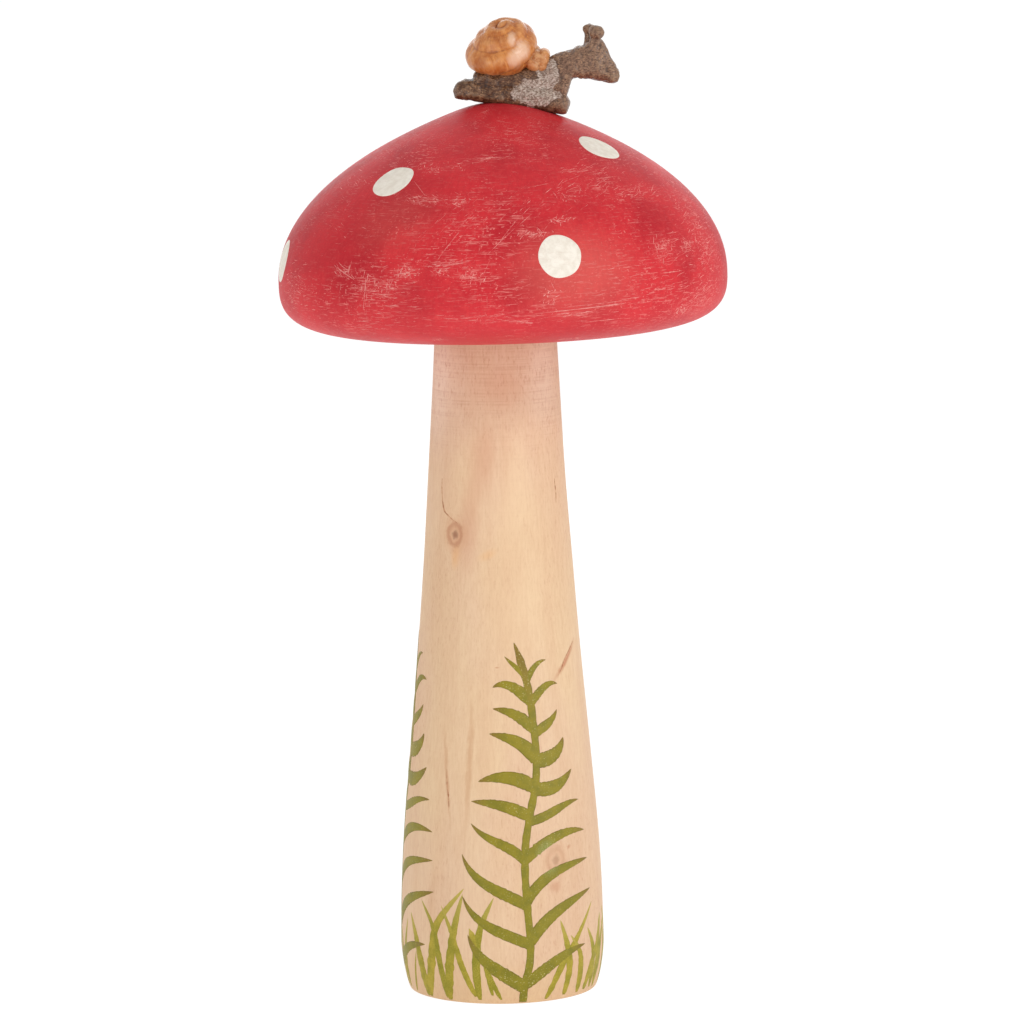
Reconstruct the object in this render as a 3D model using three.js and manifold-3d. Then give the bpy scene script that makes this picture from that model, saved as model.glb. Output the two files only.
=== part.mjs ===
// A turned wooden toadstool ornament with a cast snail resting on its cap.
// Millimetres, +Z up. The origin is the centre of the flat foot that the stalk stands on,
// +X is the way the snail looks, and the ornament is seen from the -Y side.
import * as THREE from "three";
import { mergeVertices } from "three/addons/utils/BufferGeometryUtils.js";
import Module from "manifold-3d";

const wasm = await Module();
wasm.setup();

// Stalk, turned from one blank with the grain upright
const stalkHeight = 145;
const stalkTopRadius = 13.3;
const stalkBellyRadius = 22.3; // the widest place, just above the foot
const footFaceRadius = 20.5; // the flat that it stands on
const footEdgeHeight = 10.1; // how far up the eased edge of the foot runs
const footEdgePower = 1.42; // a quarter ellipse would be 1, and more is flatter

// Cap, turned from a second blank and set on the stalk a little off centre and out of level
const capRadius = 48.8;
const domeHeight = 37.9; // from the widest place up to the crown
const rimDepth = 11.8; // from the widest place down to the underside
const undersideRadius = 26.9; // the flat part of the underside
const capShift = 2.0; // towards +X
const capTilt = 0.9; // degrees, +X side up
const seatGap = 0.3; // the glue line between the stalk's end and the cap, which is sawn to the cap's tilt

// Joint dowel, a fluted pin glued into both turnings
const dowelRadius = 5;
const dowelLength = 40;
const dowelChamfer = 1;
const fluteCount = 12;
const fluteDepth = 0.35;
const boreClearance = 0.15; // all round the dowel
const boreEndGap = 2; // left free at each end for glue
const drillPointAngle = 118; // degrees, across the cone at a bore's bottom

// Snail body, in its own frame: +X forwards, Z up from the sole
const bodyLength = 25; // from the tail to the front of the foot
const tailReach = 11.7; // from the snail's origin back to the tail
const footHalfWidth = 4;
const footHeight = 5.6;
const headReach = 23.2; // from the snail's origin forward to the snout
const headTop = 17.1;
const headFloor = 8.4; // the flat underside of the head
const neckRootAt = 5.5; // how far forward the neck leaves the back
const headHalfWidth = 3.2;
const saddleTop = 8.4; // the raised back that carries the shell
const saddleHalfWidth = 3.1;
const eyeStalkSpread = 1.7; // each eye stalk's distance from the middle
const eyeStalkHeight = 3;
const snailForward = 1.8; // the snail's origin, ahead of the cap's axis
const snailSink = 1.05; // how far the sole is hollowed over the crown
const snailPitch = 10; // degrees, nose down
const glueGap = 0.3; // between the sole and the cap, and between the shell and the back

// Snail shell, a domed coil of a little over three whorls
const shellTurns = 3.3;
const coilRadius = 9.1; // from the coil's axis to the outside of the whorl at the mouth
const coilGrowth = 0.71; // the power by which the coil widens along its turns
const spireRise = 7.6; // from the mouth up to the apex, along the coil's axis
const spireGrowth = 2.2; // the power by which the coil drops as it widens, for a domed spire
const coilDrift = 1.5; // how far the coil's middle has moved towards the tail by the mouth
const whorlShare = 0.345; // whorl radius over the coil's outer radius
const mouthAngle = 44; // degrees round the coil, where the last whorl ends
const shellLean = 22; // degrees, the spire's lean towards the -Y side
const shellTip = 23; // degrees, the coil's front raised
const apexBulbRadius = 1.3; // the shell's rounded tip
const baseRadii = new THREE.Vector3(5.1, 6.4, 3.35); // the swollen base inside the last whorl
const baseTip = 8; // degrees, the front raised
const shellSetDown = 1.95; // how far the swollen base is let into the raised back
const shellForward = -1.5; // the base's middle, from the snail's origin
const shellAside = -0.4; // and towards +Y
const apexFromBase = new THREE.Vector3(-1.9, -2.5, 7.7);
const lipFromBase = new THREE.Vector3(7.1, 0.4, 1.4);
const lipRadii = new THREE.Vector3(2.3, 3.6, 2.7);
const lipLean = 24; // degrees, leaning forwards
const lipNeckRadius = 1.9; // where the mouth runs into the lip

const turningSides = 72;
const radians = THREE.MathUtils.degToRad;

// Builds a manifold solid from a closed geometry, dropping the flat triangles at poles.
function solidOf(geometry, matrix = new THREE.Matrix4()) {
  const plain = new THREE.BufferGeometry();
  plain.setAttribute("position", geometry.getAttribute("position").clone());
  if (geometry.index) plain.setIndex(geometry.index.clone());
  plain.applyMatrix4(matrix);
  const merged = mergeVertices(plain, 1e-4);
  const corners = [];
  for (let i = 0; i < merged.index.count; i += 3) {
    const [a, b, c] = [0, 1, 2].map((k) => merged.index.getX(i + k));
    if (a !== b && b !== c && c !== a) corners.push(a, b, c);
  }
  const mesh = new wasm.Mesh({
    numProp: 3,
    vertProperties: new Float32Array(merged.attributes.position.array),
    triVerts: new Uint32Array(corners),
  });
  mesh.merge();
  return new wasm.Manifold(mesh);
}

function geometryOf(solid) {
  const mesh = solid.getMesh();
  const geometry = new THREE.BufferGeometry();
  geometry.setAttribute("position", new THREE.BufferAttribute(mesh.vertProperties, 3));
  geometry.setIndex(new THREE.BufferAttribute(mesh.triVerts, 1));
  return geometry;
}

const unionOf = (solids) => solids.reduce((whole, next) => whole.add(next));

// A solid of revolution about +Z. The profile runs [radius, height], from the bottom of the axis to its top.
function turned(profile, sides = turningSides) {
  const points = profile.map(([radius, height]) => new THREE.Vector2(radius, height));
  return new THREE.LatheGeometry(points, sides).rotateX(Math.PI / 2);
}

function bezier(from, firstHandle, secondHandle, to, steps) {
  const ends = [from, firstHandle, secondHandle, to].map(([x, y]) => new THREE.Vector2(x, y));
  return new THREE.CubicBezierCurve(...ends).getPoints(steps).map((p) => [p.x, p.y]);
}

// A closed solid through a stack of rings, each a list of as many points, wound
// anticlockwise when seen from the last ring. A ring's middle closes each end.
function lofted(rings) {
  const count = rings[0].length;
  const middle = (ring) => ring.reduce((sum, p) => sum.add(p), new THREE.Vector3()).divideScalar(count);
  const points = [...rings.flat(), middle(rings[0]), middle(rings.at(-1))];
  const faces = [];
  for (let r = 0; r < rings.length - 1; r++) {
    for (let k = 0; k < count; k++) {
      const [a, b] = [r * count + k, r * count + ((k + 1) % count)];
      faces.push(a, b, b + count, a, b + count, a + count);
    }
  }
  const last = (rings.length - 1) * count;
  for (let k = 0; k < count; k++) {
    const next = (k + 1) % count;
    faces.push(next, k, points.length - 2);
    faces.push(last + k, last + next, points.length - 1);
  }
  return new THREE.BufferGeometry().setFromPoints(points).setIndex(faces);
}

// A ring of points about a centre, wound anticlockwise when seen from the end that `along` points to.
function ringAround(centre, along, radius, sides = 12) {
  const across = new THREE.Vector3(1, 0, 0).addScaledVector(along, -along.x).normalize();
  const third = along.clone().cross(across);
  return Array.from({ length: sides }, (_, k) => {
    const turn = (k / sides) * 2 * Math.PI;
    return centre.clone()
      .addScaledVector(across, radius * Math.cos(turn))
      .addScaledVector(third, radius * Math.sin(turn));
  });
}

function ball(radii, at, tilt = 0, columns = 20, rows = 14) {
  const geometry = new THREE.SphereGeometry(1, columns, rows).rotateX(Math.PI / 2);
  geometry.scale(radii.x, radii.y, radii.z).rotateY(radians(tilt));
  return solidOf(geometry.translate(at.x, at.y, at.z));
}

// A drilled hole about +Z from z = 0 down, with the drill's cone below its full depth.
function drilledHole(radius, depth, overrun) {
  const cone = radius / Math.tan(radians(drillPointAngle / 2));
  return turned([[0, -depth - cone], [radius, -depth], [radius, overrun], [0, overrun]], 48);
}

const turningAllowance = 2; // how far a blank or a cut runs past the finished end
const boreRadius = dowelRadius + boreClearance;
const boreDepth = dowelLength / 2 + boreEndGap;

// Where the stalk ends and the cap begins
const jointPlane = new THREE.Matrix4().makeTranslation(0, 0, stalkHeight);
const capGroup = new THREE.Group();
capGroup.position.set(capShift, 0, stalkHeight + seatGap);
capGroup.rotation.y = -radians(capTilt);
capGroup.updateMatrixWorld(true);

// Stalk

function stalkProfile(top) {
  const edgeSteps = 8;
  const edge = [];
  for (let i = 0; i <= edgeSteps; i++) {
    const turn = (i / edgeSteps) * (Math.PI / 2);
    edge.push([
      footFaceRadius + (stalkBellyRadius - footFaceRadius) * Math.sin(turn) ** footEdgePower,
      footEdgeHeight * (1 - Math.cos(turn) ** footEdgePower),
    ]);
  }
  const rise = stalkHeight - footEdgeHeight;
  const flare = stalkBellyRadius - stalkTopRadius;
  const side = bezier(
    [stalkBellyRadius, footEdgeHeight],
    [stalkBellyRadius, footEdgeHeight + 0.25 * rise],
    [stalkTopRadius + 0.46 * flare, footEdgeHeight + 0.37 * rise],
    [stalkTopRadius, stalkHeight],
    16,
  );
  return [[0, 0], ...edge, ...side.slice(1), [stalkTopRadius, top], [0, top]];
}

// The blank is left a little long, and its end is sawn parallel to the cap's underside.
function stalkGeometry() {
  const blank = solidOf(turned(stalkProfile(stalkHeight + turningAllowance), 60));
  const offcut = turned([[0, -seatGap], [capRadius, -seatGap], [capRadius, capRadius], [0, capRadius]]);
  const bore = solidOf(drilledHole(boreRadius, boreDepth, turningAllowance), jointPlane);
  return geometryOf(blank.subtract(solidOf(offcut, capGroup.matrixWorld)).subtract(bore));
}

// Cap, in its own frame: z = 0 is the underside that seats on the stalk

// Grown by a clearance, the same profile cuts the snail's sole.
function capProfile(grow = 0) {
  const widest = capRadius + grow;
  const dome = domeHeight + grow;
  const rim = rimDepth + grow;
  const crownEnd = [0.268 * widest, rimDepth + 0.913 * dome];
  return [
    [0, rimDepth - rim],
    ...bezier([undersideRadius, rimDepth - rim], [widest, rimDepth - rim],
      [widest, rimDepth - 0.44 * rim], [widest, rimDepth], 9),
    ...bezier([widest, rimDepth], [widest, rimDepth + 0.443 * dome],
      [0.593 * widest, rimDepth + 0.751 * dome], crownEnd, 13).slice(1),
    ...bezier(crownEnd, [0.186 * widest, rimDepth + 0.954 * dome],
      [0.1 * widest, rimDepth + dome], [0, rimDepth + dome], 5).slice(1),
  ];
}

// The dowel stands upright on the stalk's axis, so the cap's bore follows it and not the cap's own axis.
function capGeometry() {
  const upward = jointPlane.clone().multiply(new THREE.Matrix4().makeRotationX(Math.PI));
  const intoCap = capGroup.matrixWorld.clone().invert().multiply(upward);
  const bore = solidOf(drilledHole(boreRadius, boreDepth, turningAllowance), intoCap);
  return geometryOf(solidOf(turned(capProfile())).subtract(bore));
}

// Joint dowel: a round pin with straight glue flutes, chamfered at both ends

// The outline is the end's, inside the chamfer, and the bevel widens it to the full section.
function dowelGeometry() {
  const steps = fluteCount * 6;
  const outline = [];
  for (let i = 0; i < steps; i++) {
    const turn = (i / steps) * 2 * Math.PI;
    const flute = fluteDepth * Math.max(0, Math.cos(turn * fluteCount));
    const radius = dowelRadius - dowelChamfer - flute;
    outline.push(new THREE.Vector2(radius * Math.cos(turn), radius * Math.sin(turn)));
  }
  const straight = dowelLength - 2 * dowelChamfer;
  const pin = new THREE.ExtrudeGeometry(new THREE.Shape(outline), {
    depth: straight,
    steps: 1,
    bevelEnabled: true,
    bevelSegments: 1,
    bevelSize: dowelChamfer,
    bevelThickness: dowelChamfer,
  });
  return pin.translate(0, 0, stalkHeight - straight / 2);
}

// Snail shell: whorls along a domed coil over a swollen base, and a lip that its mouth runs into

// The base stands in the raised back, and the coil's apex and the lip are placed from it.
const baseAt = new THREE.Vector3(shellForward, shellAside, saddleTop - shellSetDown + baseRadii.z);
const shellApex = baseAt.clone().add(apexFromBase);
const lipAt = baseAt.clone().add(lipFromBase);
const firstTurn = 0.15; // where the coil starts, inside the rounded tip

// The coil at a given number of turns from the apex: where the whorl's centre is, and its radius.
function coilAt(turns, grow) {
  const share = (turns / shellTurns) ** coilGrowth;
  const drop = share ** spireGrowth;
  const outer = coilRadius * share;
  const whorl = whorlShare * outer;
  const angle = radians(mouthAngle) + 2 * Math.PI * (shellTurns - turns);
  const outward = new THREE.Vector3(Math.cos(angle), Math.sin(angle), 0);
  const centre = outward.clone().multiplyScalar(outer - whorl);
  centre.add(new THREE.Vector3(-coilDrift * drop, 0, -spireRise * drop));
  return { centre, outward, radius: whorl + grow };
}

function shellSolid(grow = 0) {
  const sectionsPerTurn = 20;
  const sectionSides = 14;
  const sectionCount = Math.round((shellTurns - firstTurn) * sectionsPerTurn);
  const axis = new THREE.Vector3(0, 0, 1);
  const rings = [];
  for (let s = 0; s <= sectionCount; s++) {
    const turns = firstTurn + (s / sectionCount) * (shellTurns - firstTurn);
    const { centre, outward, radius } = coilAt(turns, grow);
    rings.push(Array.from({ length: sectionSides }, (_, k) => {
      const turn = (k / sectionSides) * 2 * Math.PI;
      return centre.clone()
        .addScaledVector(outward, radius * Math.cos(turn))
        .addScaledVector(axis, radius * Math.sin(turn));
    }));
  }
  // A whorl lies against the one inside it, so the coil is joined from arcs that don't meet themselves.
  const arcSections = sectionsPerTurn / 2;
  const pose = new THREE.Matrix4().makeTranslation(shellApex)
    .multiply(new THREE.Matrix4().makeRotationY(-radians(shellTip)))
    .multiply(new THREE.Matrix4().makeRotationX(radians(shellLean)));
  const parts = [];
  for (let s = 0; s < sectionCount; s += arcSections) {
    parts.push(solidOf(lofted(rings.slice(s, s + arcSections + 2)), pose));
  }
  const last = coilAt(shellTurns, grow);
  const mouth = last.centre.clone().applyMatrix4(pose);
  const along = lipAt.clone().sub(mouth).normalize();
  parts.push(solidOf(lofted([
    ringAround(mouth, along, 0.85 * last.radius),
    ringAround(lipAt, along, lipNeckRadius + grow),
  ])));
  const apex = new THREE.Vector3(0, 0, -0.6 * apexBulbRadius).applyMatrix4(pose);
  const round = (radius) => new THREE.Vector3(radius, radius, radius);
  parts.push(ball(round(apexBulbRadius + grow), apex, 0, 14, 10));
  parts.push(ball(round(last.radius), mouth, 0, 14, 10));
  parts.push(ball(baseRadii.clone().addScalar(grow), baseAt, -baseTip));
  parts.push(ball(lipRadii.clone().addScalar(grow), lipAt, lipLean));
  return unionOf(parts);
}

// Snail body: a long foot with a raised back, a neck that carries a wedge-shaped head, and two eye stalks

// A section across the body at x, from its floor to its top, narrowed upwards by taper.
function bodySection(x, floor, top, halfWidth, taper, sides = 20) {
  const squareness = 2 / 2.6;
  const middle = (floor + top) / 2;
  const halfHeight = (top - floor) / 2;
  return Array.from({ length: sides }, (_, k) => {
    const turn = (k / sides) * 2 * Math.PI;
    const [c, s] = [Math.cos(turn), Math.sin(turn)];
    const across = Math.sign(c) * Math.abs(c) ** squareness;
    const up = Math.sign(s) * Math.abs(s) ** squareness;
    return new THREE.Vector3(x, halfWidth * across * (1 - taper * up), middle + halfHeight * up);
  });
}

// Each row: share of the length, floor, top and half width as shares of the named sizes, and taper.
function bodyLoft(start, end, height, halfWidth, rows) {
  return lofted(rows.map(([share, floor, top, width, taper]) =>
    bodySection(start + share * (end - start), floor * height, top * height, width * halfWidth, taper)));
}

function footLoft() {
  return bodyLoft(-tailReach, bodyLength - tailReach, footHeight, footHalfWidth, [
    [0.0, 0.22, 0.36, 0.3, 0.0],
    [0.012, 0.1, 0.54, 0.52, 0.0],
    [0.048, 0.02, 0.72, 0.7, 0.05],
    [0.15, 0.0, 0.86, 0.84, 0.1],
    [0.32, 0.0, 0.94, 0.95, 0.1],
    [0.56, 0.0, 1.0, 1.0, 0.1],
    [0.8, 0.0, 1.08, 1.0, 0.12],
    [0.92, 0.0, 0.98, 0.98, 0.1],
    [0.975, 0.02, 0.72, 0.88, 0.05],
    [0.994, 0.08, 0.56, 0.74, 0.0],
    [1.0, 0.16, 0.46, 0.6, 0.0],
  ]);
}

function saddleLoft() {
  return bodyLoft(-0.68 * tailReach, neckRootAt + 3.5, saddleTop, saddleHalfWidth, [
    [0.0, 0.3, 0.7, 0.75, 0.1],
    [0.06, 0.3, 0.8, 0.95, 0.1],
    [0.45, 0.3, 1.0, 1.0, 0.1],
    [0.7, 0.3, 1.18, 1.0, 0.1],
    [0.9, 0.3, 1.18, 1.0, 0.1],
    [1.0, 0.35, 1.05, 0.9, 0.1],
  ]);
}

function headLoft() {
  const floor = headFloor / headTop;
  return bodyLoft(neckRootAt, headReach, headTop, headHalfWidth, [
    [0.0, 0.12, 0.58, 0.8, 0.1],
    [0.15, 0.1, 0.725, 0.96, 0.12],
    [0.31, 0.14, 0.8, 1.0, 0.14],
    [0.4, 0.25, 0.845, 0.95, 0.15],
    [0.425, 0.42, 0.86, 0.92, 0.16],
    [0.47, 0.97 * floor, 0.88, 0.9, 0.16],
    [0.56, floor, 0.94, 0.94, 0.2],
    [0.65, floor, 0.985, 1.0, 0.24],
    [0.735, floor, 1.0, 1.0, 0.26],
    [0.82, floor, 0.865, 0.96, 0.22],
    [0.96, 1.01 * floor, 0.685, 0.78, 0.1],
    [0.99, 1.06 * floor, 0.65, 0.62, 0.05],
    [1.0, 1.12 * floor, 0.62, 0.45, 0.0],
  ]);
}

// An eye stalk stands on the head and ends in a bead.
function eyeStalk(at, side, stalkRadius, beadRadius) {
  const foot = new THREE.Vector3(at + 0.2, side * 0.85 * eyeStalkSpread, 0.86 * headTop);
  const bead = new THREE.Vector3(at, side * eyeStalkSpread, headTop + eyeStalkHeight - beadRadius);
  const along = bead.clone().sub(foot).normalize();
  const post = solidOf(lofted([
    ringAround(foot, along, 1.25 * stalkRadius),
    ringAround(bead, along, stalkRadius),
  ]));
  return post.add(ball(new THREE.Vector3(1, 1, 0.95).multiplyScalar(beadRadius), bead, 0, 14, 10));
}

const snailGroup = new THREE.Group();
snailGroup.position.set(snailForward, 0, rimDepth + domeHeight - snailSink);
snailGroup.rotation.y = radians(snailPitch);
snailGroup.updateMatrix();

function snailBodyGeometry() {
  const headAcross = headReach - neckRootAt;
  const whole = unionOf([
    solidOf(footLoft()),
    solidOf(saddleLoft()),
    solidOf(headLoft()),
    eyeStalk(neckRootAt + 0.64 * headAcross, -1, 1.05, 1.45),
    eyeStalk(neckRootAt + 0.55 * headAcross, 1, 0.85, 1.2),
  ]);
  const crown = solidOf(turned(capProfile(glueGap)), snailGroup.matrix.clone().invert());
  return geometryOf(whole.subtract(shellSolid(glueGap)).subtract(crown));
}

// The whole ornament

function finish(color, roughness) {
  return new THREE.MeshStandardMaterial({ color, roughness, metalness: 0 });
}

function piece(name, geometry, material) {
  const mesh = new THREE.Mesh(geometry, material);
  mesh.name = name;
  return mesh;
}

const toadstool = new THREE.Group();
toadstool.add(piece("stalk", stalkGeometry(), finish(0xe3bf97, 0.6)));
toadstool.add(piece("joint_dowel", dowelGeometry(), finish(0xd9b88a, 0.7)));
toadstool.add(capGroup);
capGroup.add(piece("cap", capGeometry(), finish(0xc4323d, 0.55)));
capGroup.add(snailGroup);
snailGroup.add(piece("snail_body", snailBodyGeometry(), finish(0x5d4632, 0.45)));
snailGroup.add(piece("snail_shell", geometryOf(shellSolid()), finish(0xc47a35, 0.35)));

export default toadstool;
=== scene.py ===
import math

import bpy
import numpy as np
from mathutils import Matrix, Vector


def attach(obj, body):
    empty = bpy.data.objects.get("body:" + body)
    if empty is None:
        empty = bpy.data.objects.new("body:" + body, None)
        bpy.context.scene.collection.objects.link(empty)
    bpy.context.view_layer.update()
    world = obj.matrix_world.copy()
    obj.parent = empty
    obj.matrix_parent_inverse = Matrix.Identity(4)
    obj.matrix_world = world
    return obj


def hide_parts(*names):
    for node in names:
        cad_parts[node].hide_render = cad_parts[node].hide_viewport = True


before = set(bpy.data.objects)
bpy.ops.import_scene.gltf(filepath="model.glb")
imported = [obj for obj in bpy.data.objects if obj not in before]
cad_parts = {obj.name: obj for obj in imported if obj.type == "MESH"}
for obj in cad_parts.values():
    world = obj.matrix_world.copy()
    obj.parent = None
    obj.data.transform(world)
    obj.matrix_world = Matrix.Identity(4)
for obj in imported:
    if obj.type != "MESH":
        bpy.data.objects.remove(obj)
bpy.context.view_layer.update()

# A turned wooden toadstool with a painted cap and stalk, and a cast snail on its crown.
# Shapes are worked out in millimetres from the middle of the foot, and go into the meshes in metres.
# An azimuth is in degrees round the upright axis, from the side that faces the viewer towards +X.
mm = 0.001
print("frame loaded:", len(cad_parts), "solids")


# Surfaces

# Even steps round a whole turn, in radians.
def fullTurn(steps):
    return np.linspace(0, 2 * math.pi, steps, endpoint=False)


# A cubic from low to high over the share t, with its slope at each end.
def easedBetween(t, low, high, lowSlope, highSlope):
    return (low * (1 + 2 * t) * (1 - t) ** 2 + lowSlope * t * (1 - t) ** 2
            + high * t * t * (3 - 2 * t) + highSlope * t * t * (t - 1))


# Cubic between two ends, each with its handle, at even parameters.
def bezierArc(start, startHandle, endHandle, end, steps):
    t = np.linspace(0, 1, steps)[:, None]
    ends = [np.asarray(p, float) for p in (start, startHandle, endHandle, end)]
    weights = [(1 - t) ** 3, 3 * (1 - t) ** 2 * t, 3 * (1 - t) * t ** 2, t ** 3]
    return sum(weight * point for weight, point in zip(weights, ends))


# Closed skins from stacks of rings: rings[skin, row, column]. Quads join each ring to the next, and a fan
# closes each end at its pole. A ring runs anticlockwise when seen from the last one, so faces point out.
def skinsFromRings(rings, firstPoles, lastPoles):
    skins, rows, columns = rings.shape[:3]
    poles = np.stack([firstPoles, lastPoles], axis=1)
    points = np.concatenate([rings.reshape(skins, -1, 3), poles], axis=1)
    ring = np.arange(rows * columns).reshape(rows, columns)
    beside = np.roll(ring, -1, axis=1)
    quads = np.stack([ring[:-1], beside[:-1], beside[1:], ring[1:]], axis=-1).reshape(-1, 4)
    pole = np.full(columns, rows * columns)
    firstFan = np.stack([beside[0], ring[0], pole], axis=-1)
    lastFan = np.stack([ring[-1], beside[-1], pole + 1], axis=-1)
    offsets = (np.arange(skins) * points.shape[1])[:, None, None]
    quads = (quads + offsets).reshape(-1, 4)
    fans = (np.vstack([firstFan, lastFan]) + offsets).reshape(-1, 3)
    return points.reshape(-1, 3), quads.tolist() + fans.tolist()


# Rings of a turned piece: radius r at height z gives the circle (r sin a, -r cos a, z).
def turnedRings(profile, sides):
    turn = fullTurn(sides)
    circle = np.stack([np.sin(turn), -np.cos(turn)], axis=-1)
    across = profile[:, None, :1] * circle[None]
    height = np.broadcast_to(profile[:, None, 1:2], across.shape[:2] + (1,))
    return np.concatenate([across, height], axis=-1)


# A turned surface that paint can be laid on: its radius, height and outward direction at places along it,
# how far its sanding waves in and out, and the pose of the piece. The slot it is given is kept but not used.
def turnedSurface(profile, along, sanding, pose, slot):
    step = np.gradient(profile, axis=0)
    step /= np.linalg.norm(step, axis=1, keepdims=True)
    return {"along": along, "radius": profile[:, 0], "height": profile[:, 1],
            "outward": step[:, 1], "upward": -step[:, 0], "sanding": sanding, "pose": pose, "slot": slot}


# Points on a turned surface: at an azimuth in radians and a place along it, lifted off square to it.
def layOn(surface, azimuth, along, lift):
    look = lambda name: np.interp(along, surface["along"], surface[name])
    radius, height = look("radius"), look("height")
    circle = np.stack([np.sin(azimuth), -np.cos(azimuth)], axis=-1)
    points = np.concatenate([radius[..., None] * circle, height[..., None]], axis=-1)
    lift = lift + surface["sanding"](points)
    points[..., :2] += (lift * look("outward"))[..., None] * circle
    points[..., 2] += lift * look("upward")
    return placed(points, surface["pose"])


# A soft random field with a spread of 1: the sum of sine waves of about one size, each in its own direction.
def lumpyField(points, size, seed, waves=24):
    chance = np.random.default_rng(seed)
    direction = chance.normal(size=(waves, points.shape[-1]))
    direction /= np.linalg.norm(direction, axis=1, keepdims=True)
    rate = 2 * math.pi / (size * chance.uniform(0.7, 1.5, waves))
    phase = chance.uniform(0, 2 * math.pi, waves)
    return np.sin(points @ (direction * rate[:, None]).T + phase).sum(axis=-1) * math.sqrt(2 / waves)


def placed(points, pose):
    return points @ pose[:3, :3].T + pose[:3, 3]


# An object in the scene for a mesh, a lamp or a camera.
def addObject(name, data):
    made = bpy.data.objects.new(name, data)
    bpy.context.scene.collection.objects.link(made)
    return made


def newMesh(name, points, faces):
    mesh = bpy.data.meshes.new(name)
    mesh.from_pydata(points.tolist(), [], faces)
    return mesh


# A piece from points in millimetres.
def addPiece(name, points, faces, material, nodes=()):
    mesh = newMesh(name, points * mm, faces)
    mesh.shade_smooth()
    return dressPiece(name, mesh, material, nodes)


# A piece rides on the one body, has a slot, and may stand in for some of the solids.
def dressPiece(name, mesh, material, nodes=()):
    piece = addObject(name, mesh)
    mesh.materials.append(material)
    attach(piece, "root")
    if nodes:
        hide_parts(*nodes)
    return piece


def addShares(mesh, label, values):
    mesh.attributes.new(label, "FLOAT", "POINT").data.foreach_set("value", values.astype(np.float32).ravel())


# Shader building

# A colour from red, green and blue out of 255.
def srgb(colour):
    share = np.array(colour) / 255
    linear = np.where(share <= 0.04045, share / 12.92, ((share + 0.055) / 1.055) ** 2.4)
    return (*linear.tolist(), 1.0)


# Gives sockets their values, by name or number: a socket is linked, anything else is set.
def fillSockets(tree, sockets, values):
    for label, value in values.items():
        if isinstance(value, bpy.types.NodeSocket):
            tree.links.new(value, sockets[label])
        else:
            sockets[label].default_value = value


def addNode(tree, kind, inputs=None, **settings):
    node = tree.nodes.new(kind)
    for name, value in settings.items():
        setattr(node, name, value)
    fillSockets(tree, node.inputs, inputs or {})
    return node


# One of the mesh's own attributes.
def readShare(tree, label):
    return addNode(tree, "ShaderNodeAttribute", attribute_name=label).outputs["Fac"]


# The helpers from here on build in the tree that their first socket belongs to, which is its id_data.
def addMath(operation, first, second=0.0, third=0.0):
    inputs = {0: first, 1: second, 2: third}
    return addNode(first.id_data, "ShaderNodeMath", inputs, operation=operation).outputs[0]


def addVector(operation, first, second=(0, 0, 0), scale=1.0):
    inputs = {0: first, 1: second, 3: scale}
    return addNode(first.id_data, "ShaderNodeVectorMath", inputs, operation=operation).outputs[0]


def addLength(vector):
    measured = addNode(vector.id_data, "ShaderNodeVectorMath", {0: vector}, operation="LENGTH")
    return measured.outputs["Value"]


def addAxes(vector):
    return addNode(vector.id_data, "ShaderNodeSeparateXYZ", {0: vector}).outputs


# The vector from a middle, and its length as a share of an ellipsoid's radii.
def addAway(place, middle, radii):
    away = addVector("SUBTRACT", place, middle)
    return away, addLength(addVector("MULTIPLY", away, [1 / radius for radius in radii]))


# From low to high, a value runs from one end to the other, smoothly and clamped.
def addRange(value, low, high, start=0.0, end=1.0):
    inputs = {"Value": value, "From Min": low, "From Max": high, "To Min": start, "To Max": end}
    ranged = addNode(value.id_data, "ShaderNodeMapRange", inputs, interpolation_type="SMOOTHSTEP")
    return ranged.outputs["Result"]


# A noise, or where it lies in a range if there is one to look between.
def addNoise(vector, scale, detail=3.0, roughness=0.55, stretch=(1, 1, 1), shift=(0, 0, 0), between=None):
    tree = vector.id_data
    moved = addNode(tree, "ShaderNodeMapping", {"Vector": vector, "Scale": stretch, "Location": shift})
    inputs = {"Vector": moved.outputs[0], "Scale": scale, "Detail": detail, "Roughness": roughness}
    noise = addNode(tree, "ShaderNodeTexNoise", inputs).outputs["Fac"]
    return addRange(noise, *between) if between else noise


def addMix(factor, first, second):
    inputs = {0: factor, 6: first, 7: second}
    return addNode(factor.id_data, "ShaderNodeMix", inputs, data_type="RGBA").outputs[2]


# A colour between two tones.
def addTones(tones, share):
    return addMix(share, srgb(tones[0]), srgb(tones[1]))


# Lays coats over a base in turn, each where its mask is. A paint has each coat's strength and colour by name.
def addCoats(base, paint, masks):
    for name, mask in masks.items():
        strength, colour = paint[name]
        base = addMix(addMath("MULTIPLY", mask, strength), base, srgb(colour))
    return base


# A material with its Principled shader, and object coordinates in millimetres.
def newMaterial(name, **constants):
    material = bpy.data.materials.new(name)
    material.use_nodes = True
    tree = material.node_tree
    shader = tree.nodes["Principled BSDF"]
    for label, value in constants.items():
        shader.inputs[label.replace("_", " ")].default_value = value
    place = addNode(tree, "ShaderNodeTexCoord").outputs["Object"]
    inMillimetres = addNode(tree, "ShaderNodeMapping", {"Vector": place, "Scale": (1000, 1000, 1000)})
    return material, tree, shader, inMillimetres.outputs[0]


# Joins colour, roughness and relief to the shader. The relief has a strength, and a depth in millimetres.
def finishPaint(tree, shader, base, roughness, relief, strength, depth):
    bump = addNode(tree, "ShaderNodeBump", {"Height": relief, "Strength": strength, "Distance": depth * mm})
    normal = bump.outputs["Normal"]
    fillSockets(tree, shader.inputs, {"Base Color": base, "Roughness": roughness, "Normal": normal})


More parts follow.
